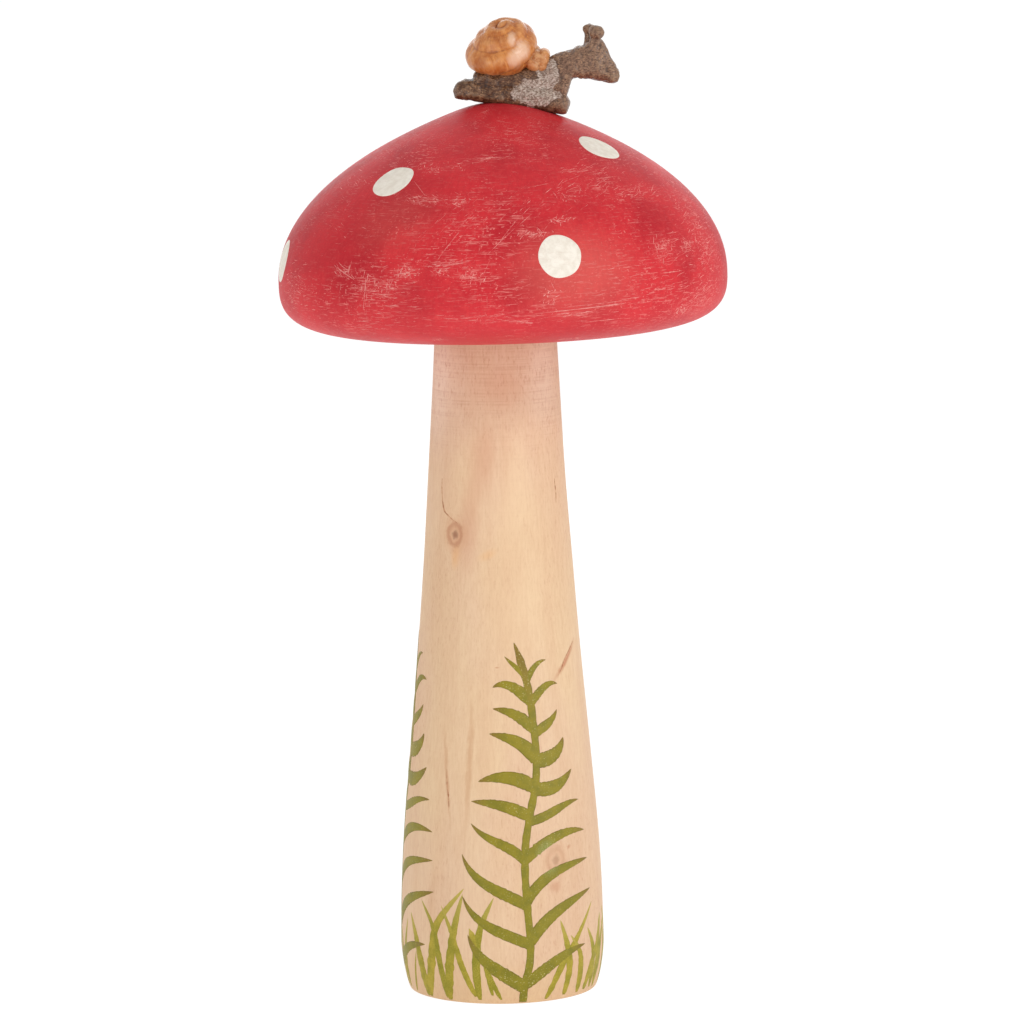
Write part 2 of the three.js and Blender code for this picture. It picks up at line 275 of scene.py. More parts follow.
# A node group from the names of its vector inputs, number inputs and number outputs.
def newGroup(name, vectors, numbers, made):
    group = bpy.data.node_groups.new(name, "ShaderNodeTree")
    sides = ((vectors, "INPUT", "NodeSocketVector"), (numbers, "INPUT", "NodeSocketFloat"),
             (made, "OUTPUT", "NodeSocketFloat"))
    for labels, side, kind in sides:
        for label in labels:
            group.interface.new_socket(name=label, in_out=side, socket_type=kind)
    return group, group.nodes.new("NodeGroupInput").outputs, group.nodes.new("NodeGroupOutput").inputs


def useGroup(tree, group, inputs):
    return addNode(tree, "ShaderNodeGroup", inputs, node_tree=group).outputs


# Upright wood figure: broad soft bands, fine fibres and short pores, all drawn out along the grain.
def makeGrainGroup():
    tree, given, made = newGroup("uprightGrain", ["Vector"], ["Fineness"], ["Bands", "Fibres", "Pores"])
    sized = addVector("SCALE", given["Vector"], scale=given["Fineness"])
    bands = addNoise(sized, 0.22, 3.0, 0.5, stretch=(1, 1, 0.06), between=(0.35, 0.68))
    fibres = addNoise(sized, 1.9, 4.0, 0.75, stretch=(1, 1, 0.13), between=(0.32, 0.68))
    pores = addNoise(sized, 2.6, 3.0, 0.65, stretch=(1, 1, 0.26), shift=(31, 7, 3), between=(0.5, 0.78))
    fillSockets(tree, made, {"Bands": bands, "Fibres": fibres, "Pores": pores})
    return tree


# Sanded paint: fine level lines and upright ones across them, and specks. They come in patches, and thicken
# to a haze where the paint is worn.
def makeScuffGroup():
    tree, given, made = newGroup("sandedPaint", ["Vector"], ["Amount", "Worn"], ["Scuffs", "Weave"])
    patches = addNoise(given["Vector"], 0.07, 3.0, 0.6, between=(0.4, 0.68))
    specks = addNoise(given["Vector"], 2.2, 2.0, 0.5)
    level = addNoise(given["Vector"], 1.0, 3.0, 0.7, stretch=(0.4, 0.4, 3.6))
    upright = addNoise(given["Vector"], 1.0, 3.0, 0.7, stretch=(3.0, 3.0, 0.5), shift=(5, 5, 5))
    lines = addMath("MAXIMUM", level, addMath("SUBTRACT", upright, 0.08))
    sharp = addMath("MAXIMUM", lines, addMath("SUBTRACT", specks, 0.06))
    fine = addRange(addMath("MULTIPLY_ADD", given["Worn"], 0.03, sharp), 0.56, 0.66)
    share = addMath("MAXIMUM", addMath("MULTIPLY_ADD", patches, 0.75, 0.2), given["Worn"])
    scuffs = addMath("MULTIPLY", addMath("MULTIPLY", fine, share), given["Amount"])
    mixed = addMath("MULTIPLY", addMath("ADD", level, upright), 0.5)
    fillSockets(tree, made, {"Scuffs": scuffs, "Weave": addRange(mixed, 0.38, 0.62)})
    return tree


# Brushed paint: streaks along the stroke's own UV, thinner where a patchy noise is low.
def makeBrushGroup():
    tree, given, made = newGroup("brushedPaint", ["Vector", "Stroke"], [], ["Streaks", "Thin", "Specks"])
    streaks = addNoise(given["Stroke"], 3.0, 3.0, 0.6, stretch=(1.1, 1.6, 1), between=(0.3, 0.7))
    patchy = addNoise(given["Vector"], 0.45, 3.0, 0.6, between=(0.35, 0.7))
    specks = addNoise(given["Vector"], 3.2, 2.0, 0.5, between=(0.62, 0.72))
    fillSockets(tree, made, {"Streaks": streaks, "Thin": patchy, "Specks": specks})
    return tree


# Cast and painted resin: blotches of colour, a fine pebbled skin, and hollows and ridges from the mesh's own
# attribute. Darkening in the hollows is partly the paint's own darker colour and partly painted shade, and
# lightening on the ridges partly rubbed paint and partly painted highlight.
def makeCastGroup():
    shares = ["Blotches", "Pebbles", "Hollows", "Ridges"]
    tree, given, made = newGroup("castSkin", ["Vector"], ["Size"], shares)
    sized = addVector("SCALE", given["Vector"], scale=given["Size"])
    curve = readShare(tree, "hollow")
    fillSockets(tree, made, {"Blotches": addNoise(sized, 0.5, 3.0, 0.6, between=(0.35, 0.68)),
                             "Pebbles": addNoise(sized, 2.4, 3.0, 0.6),
                             "Hollows": addRange(curve, 0.52, 0.8),
                             "Ridges": addRange(curve, 0.48, 0.25)})
    return tree


grainGroup = makeGrainGroup()
scuffGroup = makeScuffGroup()
brushGroup = makeBrushGroup()
castGroup = makeCastGroup()
print("shader groups made")


# Joint between stalk and cap, and the poses of the cap and the snail

joint = {
    "seatGap": 0.3,
    "capShift": 2.0,       # the cap's axis, towards +X
    "capTilt": 0.9,        # degrees, +X side up
    "boreRadius": 5.15,
    "boreDepth": 22.0,
    "boreCone": 3.1,       # the drill point's height
}

stalkShape = {
    "height": 145.0,
    "topRadius": 13.3,
    "bellyRadius": 22.3,
    "footFaceRadius": 20.5,
    "footEdgeHeight": 10.1,
    "footEdgePower": 1.42,
    "lowHandle": 0.25,              # share of the side's rise, straight up from the foot
    "topHandle": (0.46, 0.37),      # shares of the flare and of the rise
    "sides": 256,
    "sideRows": 290,
    "sanding": 0.035,      # how far the sanded surface waves in and out
    "knotAzimuth": -36.3,
    "knotHeight": 102.2,
    "knotWidth": 1.6,      # half its width, and half its height below
    "knotRise": 2.6,
    "knotDent": 0.22,
}

capShape = {
    "radius": 48.8,
    "domeHeight": 37.9,
    "rimDepth": 11.8,
    "undersideRadius": 26.9,
    "rimHandle": 0.56,              # share of the rim's depth
    # Points up the dome: shares of the radius, and of the dome's height over the rim
    "domeHandles": ((1, 0.443), (0.593, 0.751)),
    "crownEdge": (0.268, 0.913),
    "crownHandles": ((0.186, 0.954), (0.1, 1)),
    "sides": 280,
    "rows": 270,
    "lastRing": 0.35,      # its distance from the crown's pole
    "sanding": 0.03,
}


def turnAboutY(degrees):
    return np.array(Matrix.Rotation(math.radians(degrees), 4, "Y"))


def shiftBy(x, y, z):
    return np.array(Matrix.Translation((x, y, z)))


capSeat = stalkShape["height"] + joint["seatGap"]
capPose = shiftBy(joint["capShift"], 0, capSeat) @ turnAboutY(-joint["capTilt"])


# How far the sawn end of the stalk, and the cap's underside above it, rise at a place across.
def sawnRise(x):
    return math.tan(math.radians(joint["capTilt"])) * (x - joint["capShift"])


# Stalk: the edge of the foot is a flattened quarter ellipse, and the side one cubic up to the cap.
def stalkSide(edgeRows, sideRows):
    s = stalkShape
    turn = np.linspace(0, math.pi / 2, edgeRows)
    power = s["footEdgePower"]
    edgeRadius = s["footFaceRadius"] + (s["bellyRadius"] - s["footFaceRadius"]) * np.sin(turn) ** power
    edge = np.stack([edgeRadius, s["footEdgeHeight"] * (1 - np.cos(turn) ** power)], axis=-1)
    rise = s["height"] - s["footEdgeHeight"]
    flare = s["bellyRadius"] - s["topRadius"]
    out, up = s["topHandle"]
    side = bezierArc((s["bellyRadius"], s["footEdgeHeight"]),
                     (s["bellyRadius"], s["footEdgeHeight"] + s["lowHandle"] * rise),
                     (s["topRadius"] + out * flare, s["footEdgeHeight"] + up * rise),
                     (s["topRadius"], s["height"]), sideRows)
    return np.vstack([edge, side[1:]])


# The sanded side waves in and out a little, and is drawn in round the knot.
def stalkSanding(points):
    s = stalkShape
    azimuth = np.arctan2(points[..., 0], -points[..., 1])
    across = (azimuth - math.radians(s["knotAzimuth"])) * np.hypot(points[..., 0], points[..., 1])
    nearKnot = (across / s["knotWidth"]) ** 2 + ((points[..., 2] - s["knotHeight"]) / s["knotRise"]) ** 2
    waves = s["sanding"] * lumpyField(points / [1, 1, 3], 14, seed=4)
    return waves * np.clip(points[..., 2] / 6, 0, 1) - s["knotDent"] * np.exp(-nearKnot)


stalkProfile = stalkSide(60, 900)
stalkSurface = turnedSurface(stalkProfile, stalkProfile[:, 1], stalkSanding, np.eye(4), "stalk_wood")


def buildStalk(material):
    s, j = stalkShape, joint
    side = stalkSide(22, s["sideRows"])
    face = np.stack([np.linspace(2, s["footFaceRadius"], 12)[:-1], np.zeros(11)], axis=-1)
    end = np.stack([np.linspace(s["topRadius"], j["boreRadius"], 8)[1:], np.full(7, s["height"])], axis=-1)
    boreHeights = s["height"] - np.linspace(0, j["boreDepth"], 7)[1:]
    bore = np.stack([np.full(6, j["boreRadius"]), boreHeights], axis=-1)
    rings = turnedRings(np.vstack([face, side, end, bore]), s["sides"])
    turn = fullTurn(s["sides"])
    azimuth, height = np.meshgrid(turn, side[:, 1])
    first = len(face)
    rings[first:first + len(side)] = layOn(stalkSurface, azimuth, height, 0.0)
    sawn = np.concatenate([np.zeros(first), np.clip(side[:, 1] / s["height"] * 8 - 7, 0, 1),
                           np.ones(len(end)), np.zeros(len(bore))])
    rings[..., 2] += sawn[:, None] * sawnRise(rings[..., 0])
    tip = np.array([[0, 0, s["height"] - j["boreDepth"] - j["boreCone"]]])
    points, faces = skinsFromRings(rings[None], np.zeros((1, 3)), tip)
    return addPiece("turnedStalk", points, faces, material, ["stalk"])


# Cap, in its own frame with z = 0 at the underside: one cubic round the rim, one up the dome and one over the
# crown.
def capSide(rimRows, domeRows, crownRows):
    s = capShape
    radius, rim = s["radius"], s["rimDepth"]
    at = lambda across, up: (across * radius, rim + up * s["domeHeight"])
    edge = at(*s["crownEdge"])
    rimHandle = (radius, s["rimHandle"] * rim)
    rimArc = bezierArc((s["undersideRadius"], 0), (radius, 0), rimHandle, at(1, 0), rimRows)
    domeArc = bezierArc(at(1, 0), *[at(*handle) for handle in s["domeHandles"]], edge, domeRows)
    crownArc = bezierArc(edge, *[at(*handle) for handle in s["crownHandles"]], at(0, 1), crownRows)
    return np.vstack([rimArc, domeArc[1:], crownArc[1:]])


# The sanded cap waves in and out a little, and less near its crown and its flat underside.
def capSanding(points):
    fade = np.clip(np.hypot(points[..., 0], points[..., 1]) / 12, 0, 1) * np.clip(points[..., 2] / 4, 0, 1)
    return capShape["sanding"] * fade * lumpyField(points, 22, seed=9)


# Places on the cap are distances over its surface from the crown, counted as minus so that they rise upwards.
capProfile = capSide(300, 600, 300)
capSteps = np.linalg.norm(np.diff(capProfile, axis=0), axis=1)
capPlaces = np.concatenate([[0], np.cumsum(capSteps)]) - capSteps.sum()
capSurface = turnedSurface(capProfile, capPlaces, capSanding, capPose, "cap_paint")


def buildCap(material):
    s, j = capShape, joint
    turn = fullTurn(s["sides"])
    azimuth, along = np.meshgrid(turn, np.linspace(capPlaces[0], -s["lastRing"], s["rows"]))
    rings = layOn(capSurface, azimuth, along, 0.0)
    depths = np.linspace(j["boreDepth"] - j["seatGap"], 0, 7)
    bore = turnedRings(np.stack([np.full(7, j["boreRadius"]), capSeat + depths], axis=-1), s["sides"])
    bore[-1, :, 2] += sawnRise(bore[-1, :, 0])
    outwards = np.linspace(0, 1, 16)[1:-1, None, None]
    flat = bore[-1] * (1 - outwards) + rings[0] * outwards
    rings = np.concatenate([bore, flat, rings])
    tip = np.array([[0, 0, capSeat + depths[0] + j["boreCone"]]])
    crown = placed(np.array([[0, 0, s["rimDepth"] + s["domeHeight"]]]), capPose)
    points, faces = skinsFromRings(rings[None], tip, crown)
    piece = addPiece("turnedCap", points, faces, material, ["cap"])
    # Attributes for the paint: the place along the surface, and how worn it is there
    along = np.pad(along, ((len(rings) - len(along), 0), (0, 0)), mode="edge")
    for label, values in (("along", along), ("worn", wornAt(turn[None], along))):
        addShares(piece.data, label, np.append(values, [values[0, 0], values[-1, 0]]))
    return piece


# Wood of the stalk: pale peach, pinker upwards and yellower at the foot, with upright grain that parts round
# a knot, lathe lines, and smudges of darker sapwood. The two pale smudges under the cap are painted light,
# where the cap shades the top of the stalk. Here and in the paints below, a colour is red, green and blue out
# of 255, a base is two tones, and a coat is its strength and its colour.

stalkWood = {
    "base": ((234, 202, 167), (226, 192, 163)),
    "patches": (0.5, (224, 184, 153)),
    "yellow": (0.4, (235, 204, 157)),
    "foot": (0.4, (224, 186, 134)),
    "bands": (0.3, (220, 178, 142)),
    "fibres": (0.25, (206, 162, 126)),
    "pores": (1.0, (184, 118, 90)),
    "latheLines": (0.34, (196, 144, 114)),
    "halo": (0.55, (206, 150, 112)),
    "ring": (0.62, (182, 122, 88)),
    "core": (0.85, (140, 90, 64)),
    "upperHeights": (112, 140),
    "footHeights": (12, 2),
    "latheHeights": (112, 136),
}

woodFigure = {
    # Knots: azimuth, height, radius of the ring, share of its full darkness
    "knots": [(-36.3, 102.2, 1.8, 0.85), (33.0, 31.2, 2.1, 0.42), (158.0, 88.0, 1.5, 0.6)],
    # Smudges: azimuth, height, half length, half width, slant from level in degrees, colour, strength
    "smudges": [
        (-19.8, 53, 17, 0.75, 88, "brown", 0.5), (-35.2, 49.5, 11.5, 0.5, 96, "brown", 0.55),
        (54, 74.1, 6.4, 0.75, 41, "rust", 0.8), (-1.5, 73.7, 0.7, 0.22, 0, "rust", 0.6),
        (-51.4, 133.8, 4, 0.3, 100, "rust", 0.35), (-34.5, 97.5, 3.2, 1.6, 84, "amber", 0.5),
        (-24, 104, 12, 3.8, 84, "pink", 0.45), (-8, 98, 3, 1.2, 20, "amber", 0.35),
        (32, 25.4, 1.6, 1.3, 0, "rust", 0.42), (43, 33.7, 0.7, 0.5, 30, "rust", 0.6),
        (-12, 118, 9, 4, 80, "pink", 0.4), (4, 134, 5, 9, 90, "pink", 0.35),
        (14, 110, 16, 4.5, 80, "straw", 0.45), (22, 88, 12, 6, 60, "straw", 0.3),
        (-44, 22, 8, 1.2, 88, "brown", 0.25), (150, 104, 14, 0.8, 88, "brown", 0.5),
        (-112, 76, 15, 0.7, 92, "rust", 0.4), (100, 60, 20, 1, 89, "brown", 0.35),
        # These two pale smudges are painted light, lightening the top of the stalk where the cap shades it
        (-62, 136, 16, 9, 90, "pale", 0.75), (50, 137, 14, 8, 90, "pale", 0.45)],
    "colours": {"brown": (202, 152, 112), "rust": (194, 126, 92), "amber": (232, 178, 118),
                "pink": (208, 152, 120), "straw": (240, 210, 170), "pale": (244, 220, 196)},
    "girth": 19.0,      # the radius at which smudges are measured round the stalk
}


# The vector from a knot's middle, and its length as a share of the knot's radius. A knot is a little higher
# than wide.
def addKnot(place, azimuth, height, radius):
    girth = np.interp(height, stalkProfile[:, 1], stalkProfile[:, 0])
    turn = math.radians(azimuth)
    middle = (girth * math.sin(turn), -girth * math.cos(turn), height)
    return addAway(place, middle, (radius, radius, 1.25 * radius))


# A soft ellipse on the unrolled stalk.
def addSmudge(flat, azimuth, height, halfLength, halfWidth, slant):
    tree = flat.id_data
    middle = (math.radians(azimuth) * woodFigure["girth"], height, 0)
    inputs = {"Vector": flat, "Location": middle, "Rotation": (0, 0, math.radians(slant)),
              "Scale": (halfLength, halfWidth, 1)}
    local = addNode(tree, "ShaderNodeMapping", inputs, vector_type="TEXTURE").outputs[0]
    return addRange(addLength(local), 1.25, 0.15)


def makeStalkWood():
    material, tree, shader, place = newMaterial("sandedStalkWood", Specular_IOR_Level=0.28)
    w = stalkWood
    axes = addAxes(place)
    height = axes["Z"]
    knots = [addKnot(place, *knot[:3]) for knot in woodFigure["knots"]]

    # The grain parts round each knot: it is looked up nearer to the knot's middle than it lies
    parted = place
    for away, distance in knots:
        nearer = addVector("SCALE", away, scale=addRange(distance, 3.2, 0.3, 0, -0.75))
        parted = addVector("ADD", parted, nearer)
    grain = useGroup(tree, grainGroup, {"Vector": parted, "Fineness": 1.0})

    upper = addRange(height, *w["upperHeights"])
    foot = addRange(height, *w["footHeights"])
    patches = addNoise(place, 0.05, 3.0, 0.5, (1, 1, 0.45), between=(0.4, 0.66))
    yellow = addNoise(place, 0.06, 2.0, 0.5, (1, 1, 0.4), (9, 4, 60), between=(0.42, 0.66))
    base = addTones(w["base"], upper)
    base = addCoats(base, w, {"patches": patches, "yellow": yellow, "foot": foot,
                              "bands": grain["Bands"], "fibres": grain["Fibres"]})

    # The stalk's side unrolled, for the smudges, and with a waver for their edges
    behind = addMath("MULTIPLY", axes["Y"], -1)
    around = addMath("MULTIPLY", addMath("ARCTAN2", axes["X"], behind), woodFigure["girth"])
    waver = addMath("MULTIPLY_ADD", addNoise(place, 0.7, 3.0, 0.6, (1, 1, 0.4)), 1.6, -0.8)
    around = addMath("ADD", around, waver)
    flat = addNode(tree, "ShaderNodeCombineXYZ", {0: around, 1: height}).outputs[0]
    for *ellipse, colour, strength in woodFigure["smudges"]:
        smudge = addMath("MULTIPLY", addSmudge(flat, *ellipse), strength)
        base = addMix(smudge, base, srgb(woodFigure["colours"][colour]))

    # Short dark pores are thickest under the cap and on the pinker patches. Lathe lines run level, and show
    # most in the last fingerwidth under the cap
    dense = addMath("MULTIPLY_ADD", patches, 0.3, addMath("MULTIPLY_ADD", upper, 0.42, 0.12))
    pores = addMath("MULTIPLY", grain["Pores"], dense)
    level = addNoise(place, 1.0, 3.0, 0.65, (0.03, 0.03, 2.4), between=(0.42, 0.66))
    broken = addNoise(place, 0.5, 4.0, 0.7, (1, 1, 0.4), (7, 2, 5), between=(0.38, 0.6, 0.1, 1.0))
    lines = addMath("MULTIPLY", level, addRange(height, *w["latheHeights"], 0.12, 1.0))
    lines = addMath("MULTIPLY", lines, broken)
    base = addCoats(base, w, {"pores": pores, "latheLines": lines})

    # Each knot has a halo, a thin ring and a dark core
    wobble = addMath("MULTIPLY_ADD", addNoise(place, 0.9), 0.7, -0.35)
    for (_, distance), (*_, darkness) in zip(knots, woodFigure["knots"]):
        distance = addMath("ADD", distance, wobble)
        fromRing = addMath("ABSOLUTE", addMath("SUBTRACT", distance, 0.95))
        base = addCoats(base, w, {"halo": addRange(distance, 2.4, 0.6, 0.0, darkness),
                                  "ring": addRange(fromRing, 0.5, 0.02, 0.0, darkness),
                                  "core": addRange(distance, 0.62, 0.2, 0.0, darkness)})
    roughness = addRange(grain["Fibres"], 0, 1, 0.5, 0.62)
    relief = addMath("MULTIPLY_ADD", lines, -0.6, grain["Fibres"])
    finishPaint(tree, shader, base, roughness, relief, 0.3, 0.05)
    return material


dowelWood = {
    "base": ((220, 186, 140), (205, 166, 118)),
    "fibres": (0.35, (182, 140, 96)),
}


def makeDowelWood():
    material, tree, shader, place = newMaterial("plainDowelWood", Specular_IOR_Level=0.25)
    grain = useGroup(tree, grainGroup, {"Vector": place, "Fineness": 1.6})
    base = addTones(dowelWood["base"], grain["Bands"])
    base = addCoats(base, dowelWood, {"fibres": grain["Fibres"]})
    finishPaint(tree, shader, base, 0.7, grain["Fibres"], 0.3, 0.06)
    return material


capPaint = {
    "base": ((214, 50, 57), (187, 37, 47)),
    "mottle": (0.22, (228, 90, 84)),
    "weave": (0.4, (176, 30, 40)),
    "worn": (0.08, (230, 116, 112)),
    "scuffs": (0.75, (242, 148, 140)),
    # Painted shade high up on the side away from the spot in front, and painted light from below that makes
    # the paint lighter round the rim
    "sideShade": (0.3, (172, 36, 46)),
    "sideShadeAcross": (-18, -42),
    "sideShadeHeights": (152, 168),
    "rim": (0.4, (238, 82, 86)),
    "rimLightHeights": (159, 147),
    # Two places with a painted sheen, where the satin red is mixed paler as if it caught the light: middle,
    # radii, strength
    "capSheen": (218, 116, 103),
    "capSheenPlaces": [((17.0, -45.5, 162.0), (16.0, 14.0, 10.5), 0.36),
                      ((-21.0, -36.0, 172.0), (11.0, 11.0, 9.0), 0.15)],
    "girth": 34.0,      # the radius at which the sanding lines are looked up
}


# The sanding lines go round with the turning, so they are looked up round the cap's axis and along its
# surface.
def makeCapPaint():
    material, tree, shader, place = newMaterial("satinRedPaint", Specular_IOR_Level=0.09)
    p = capPaint
    fromAxis = addNode(tree, "ShaderNodeMapping", {"Vector": place, "Location": (-joint["capShift"], 0, 0),
                                                   "Scale": (1, 1, 0)}).outputs[0]
    around = addVector("SCALE", addVector("NORMALIZE", fromAxis), scale=p["girth"])
    lift = addNode(tree, "ShaderNodeCombineXYZ", {2: readShare(tree, "along")}).outputs[0]
    worn = readShare(tree, "worn")
    unrolled = addVector("ADD", around, lift)
    scuffs = useGroup(tree, scuffGroup, {"Vector": unrolled, "Amount": 1.0, "Worn": worn})
    mottle = addNoise(place, 0.9, 4.0, 0.7)
    axes = addAxes(place)
    # Painted shade: the red is darkened high up on the side away from the front spot
    sideShade = addMath("MULTIPLY", addRange(axes["X"], *p["sideShadeAcross"]),
                     addRange(axes["Z"], *p["sideShadeHeights"]))
    base = addTones(p["base"], addNoise(place, 0.06, between=(0.36, 0.64)))
    # The rim coat is painted light from below: it lightens the red towards the bottom of the cap
    base = addCoats(base, p, {"mottle": addRange(mottle, 0.42, 0.7), "weave": scuffs["Weave"],
                              "worn": worn, "scuffs": scuffs["Scuffs"], "sideShade": sideShade,
                              "rim": addRange(axes["Z"], *p["rimLightHeights"])})
    # Painted sheen: two soft places are mixed paler
    for middle, radii, strength in p["capSheenPlaces"]:
        _, distance = addAway(place, middle, radii)
        base = addMix(addRange(distance, 1.25, 0.2, 0.0, strength), base, srgb(p["capSheen"]))
    relief = addMath("SUBTRACT", mottle, scuffs["Scuffs"])
    finishPaint(tree, shader, base, addRange(mottle, 0.3, 0.7, 0.4, 0.55), relief, 0.25, 0.04)
    return material


# Spots: round dabs of off-white paint, each a lens that lies on the cap, a little out of round

spotShape = {
    "radius": 4.75,
    "thickness": 0.09,
    "outOfRound": 0.013,
    # Azimuth and distance over the cap from the crown to each spot's middle
    "places": [
        (14.8, 58), (-41.3, 37.9), (54.2, 28.1), (-81, 60.8), (108, 59.5), (-165, 59), (147, 35),
        (-128, 31)],
    "sides": 96,
    "base": ((245, 237, 224), (232, 222, 207)),
    "scuffs": (0.4, (214, 182, 164)),
}


# Rings of a lens: out under the surface, round the edge and back over the top, all on the cap's own curve.
def buildSpots(material):
    s = spotShape
    under, over = np.linspace(0.15, 1.0, 8), np.linspace(0.985, 0.15, 14)
    across = np.concatenate([under, over])[None, :, None]
    lift = np.concatenate([np.full(8, -0.06), s["thickness"] * (1 - over ** 9)])[None, :, None]
    turn = fullTurn(s["sides"])
    places = np.array(s["places"], float)
    azimuth, along = np.radians(places[:, 0]), -places[:, 1]
    circle = np.stack([np.cos(turn), np.sin(turn)], axis=-1)
    outline = circle + 5.0 * np.arange(len(places))[:, None, None]
    wobble = 1 + s["outOfRound"] * lumpyField(outline, 1.3, seed=3)
    reach = s["radius"] * across * wobble[:, None, :]
    parallel = np.interp(along, capPlaces, capProfile[:, 0])[:, None, None]
    rings = layOn(capSurface, azimuth[:, None, None] + reach * np.cos(turn) / parallel,
                  along[:, None, None] + reach * np.sin(turn), lift)
    points, faces = skinsFromRings(rings, layOn(capSurface, azimuth, along, -0.06),
                                   layOn(capSurface, azimuth, along, s["thickness"]))
    return addPiece("whiteSpots", points, faces, material)


def makeSpotPaint():
    material, tree, shader, place = newMaterial("offWhiteSpotPaint", Specular_IOR_Level=0.3)
    scuffs = useGroup(tree, scuffGroup, {"Vector": place, "Amount": 0.6, "Worn": 0.0})
    cloudy = addNoise(place, 0.7, 3.0, 0.6)
    base = addTones(spotShape["base"], addRange(cloudy, 0.3, 0.7))
    base = addCoats(base, spotShape, {"scuffs": scuffs["Scuffs"]})
    finishPaint(tree, shader, base, addRange(cloudy, 0.3, 0.7, 0.45, 0.6), cloudy, 0.25, 0.05)
    return material


# Brush strokes

# A smooth path through each row of points, at even steps: a cubic between neighbours, whose slope at a point
# is half the step from the point before to the one after.
def pathsThrough(points, rows):
    points = np.asarray(points, float)
    slopes = np.gradient(points, axis=1)
    t = np.linspace(0, points.shape[1] - 1, rows)
    cell = np.minimum(t.astype(int), points.shape[1] - 2)
    t = (t - cell)[None, :, None]
    return easedBetween(t, points[:, cell], points[:, cell + 1], slopes[:, cell], slopes[:, cell + 1])


# Strokes on a turned surface, round their middle lines (distance across from an azimuth, place along). The
# section is a flat ellipse whose lower half lies in the wood. From root to tip, t, the half width goes with
# (t + root)^swell, and over the tip's share of the length with (1 - t)^taper. Each stroke has a shade from 0
# to 1, random unless it is given, which may widen it too.
def paintStrokes(name, surface, azimuths, lines, widths, style, seed, material, shade=None):
    count, rows, columns = len(lines), lines.shape[1], style["columns"]
    chance = np.random.default_rng(seed)
    heading = np.gradient(lines, axis=1)
    heading /= np.linalg.norm(heading, axis=-1, keepdims=True)
    square = np.stack([-heading[..., 1], heading[..., 0]], axis=-1)
    t = np.linspace(0.002, 0.998, rows)
    shape = (t + style["root"]) ** style["swell"] * np.minimum(1, (1 - t) / style["tip"]) ** style["taper"]
    shade = chance.uniform(0, 1, count) if shade is None else shade
    width = np.asarray(widths, float) * (1 + style["widerByShade"] * (shade - 0.5))
    apart = lines + chance.uniform(0, 90, (count, 1, 2))
    ragged = 1 + style["ragged"] * lumpyField(apart, style["raggedSize"], seed)
    half = 0.5 * width[:, None] * shape / shape.max() * ragged
    turn = fullTurn(columns)
    side, up = np.cos(turn), np.sign(np.sin(turn)) * np.abs(np.sin(turn)) ** 0.6
    place = lines[:, :, None, :] + square[:, :, None, :] * (half[:, :, None] * side)[..., None]
    lift = style["thickness"] * (np.minimum(1, half / 0.25)[:, :, None] * up - 0.08)
    parallel = np.interp(place[..., 1], surface["along"], surface["radius"])
    azimuth = np.radians(np.asarray(azimuths, float))[:, None, None] + place[..., 0] / parallel
    rings = layOn(surface, azimuth, place[..., 1], lift)
    points, faces = skinsFromRings(rings, rings[:, 0].mean(axis=1), rings[:, -1].mean(axis=1))
    piece = addPiece(name, points, faces, material)

    # A UV map in millimetres along and across, and attributes: the share from root to tip, the shade, and
    # the share from the middle line out to the rim
    run = np.linalg.norm(np.diff(lines, axis=1), axis=-1).cumsum(axis=1)
    run = np.pad(run, ((0, 0), (1, 0)))[:, :, None] + chance.uniform(0, 200, (count, 1, 1))
    alongMap = np.broadcast_to(run, place.shape[:3]).reshape(count, -1)
    acrossMap = (half[:, :, None] * side).reshape(count, -1)
    rimMap = np.broadcast_to(np.abs(side), place.shape[:3]).reshape(count, -1)
    shareMap = np.broadcast_to(t[None, :, None], place.shape[:3]).reshape(count, -1)
    withEnds = lambda values, first, last: np.column_stack([values, first, last]).ravel()
    zero = np.zeros(count)
    alongMap = withEnds(alongMap, run[:, 0, 0], run[:, -1, 0])
    uvs = np.stack([alongMap, withEnds(acrossMap, zero, zero)], axis=-1)
    mesh = piece.data
    corners = np.zeros(len(mesh.loops), np.int32)
    mesh.loops.foreach_get("vertex_index", corners)
    mesh.uv_layers.new(name="stroke").data.foreach_set("uv", uvs[corners].astype(np.float32).ravel())
    share = withEnds(shareMap, zero, zero + 1)
    rim = withEnds(rimMap, zero + 1, zero + 1)
    shades = np.repeat(shade, rows * columns + 2)
    for label, values in (("fromRoot", share), ("shade", shades), ("rim", rim)):
        addShares(mesh, label, values)
    return piece


# Ferns: a wavering stem with leaves to both sides, painted three times round the stalk

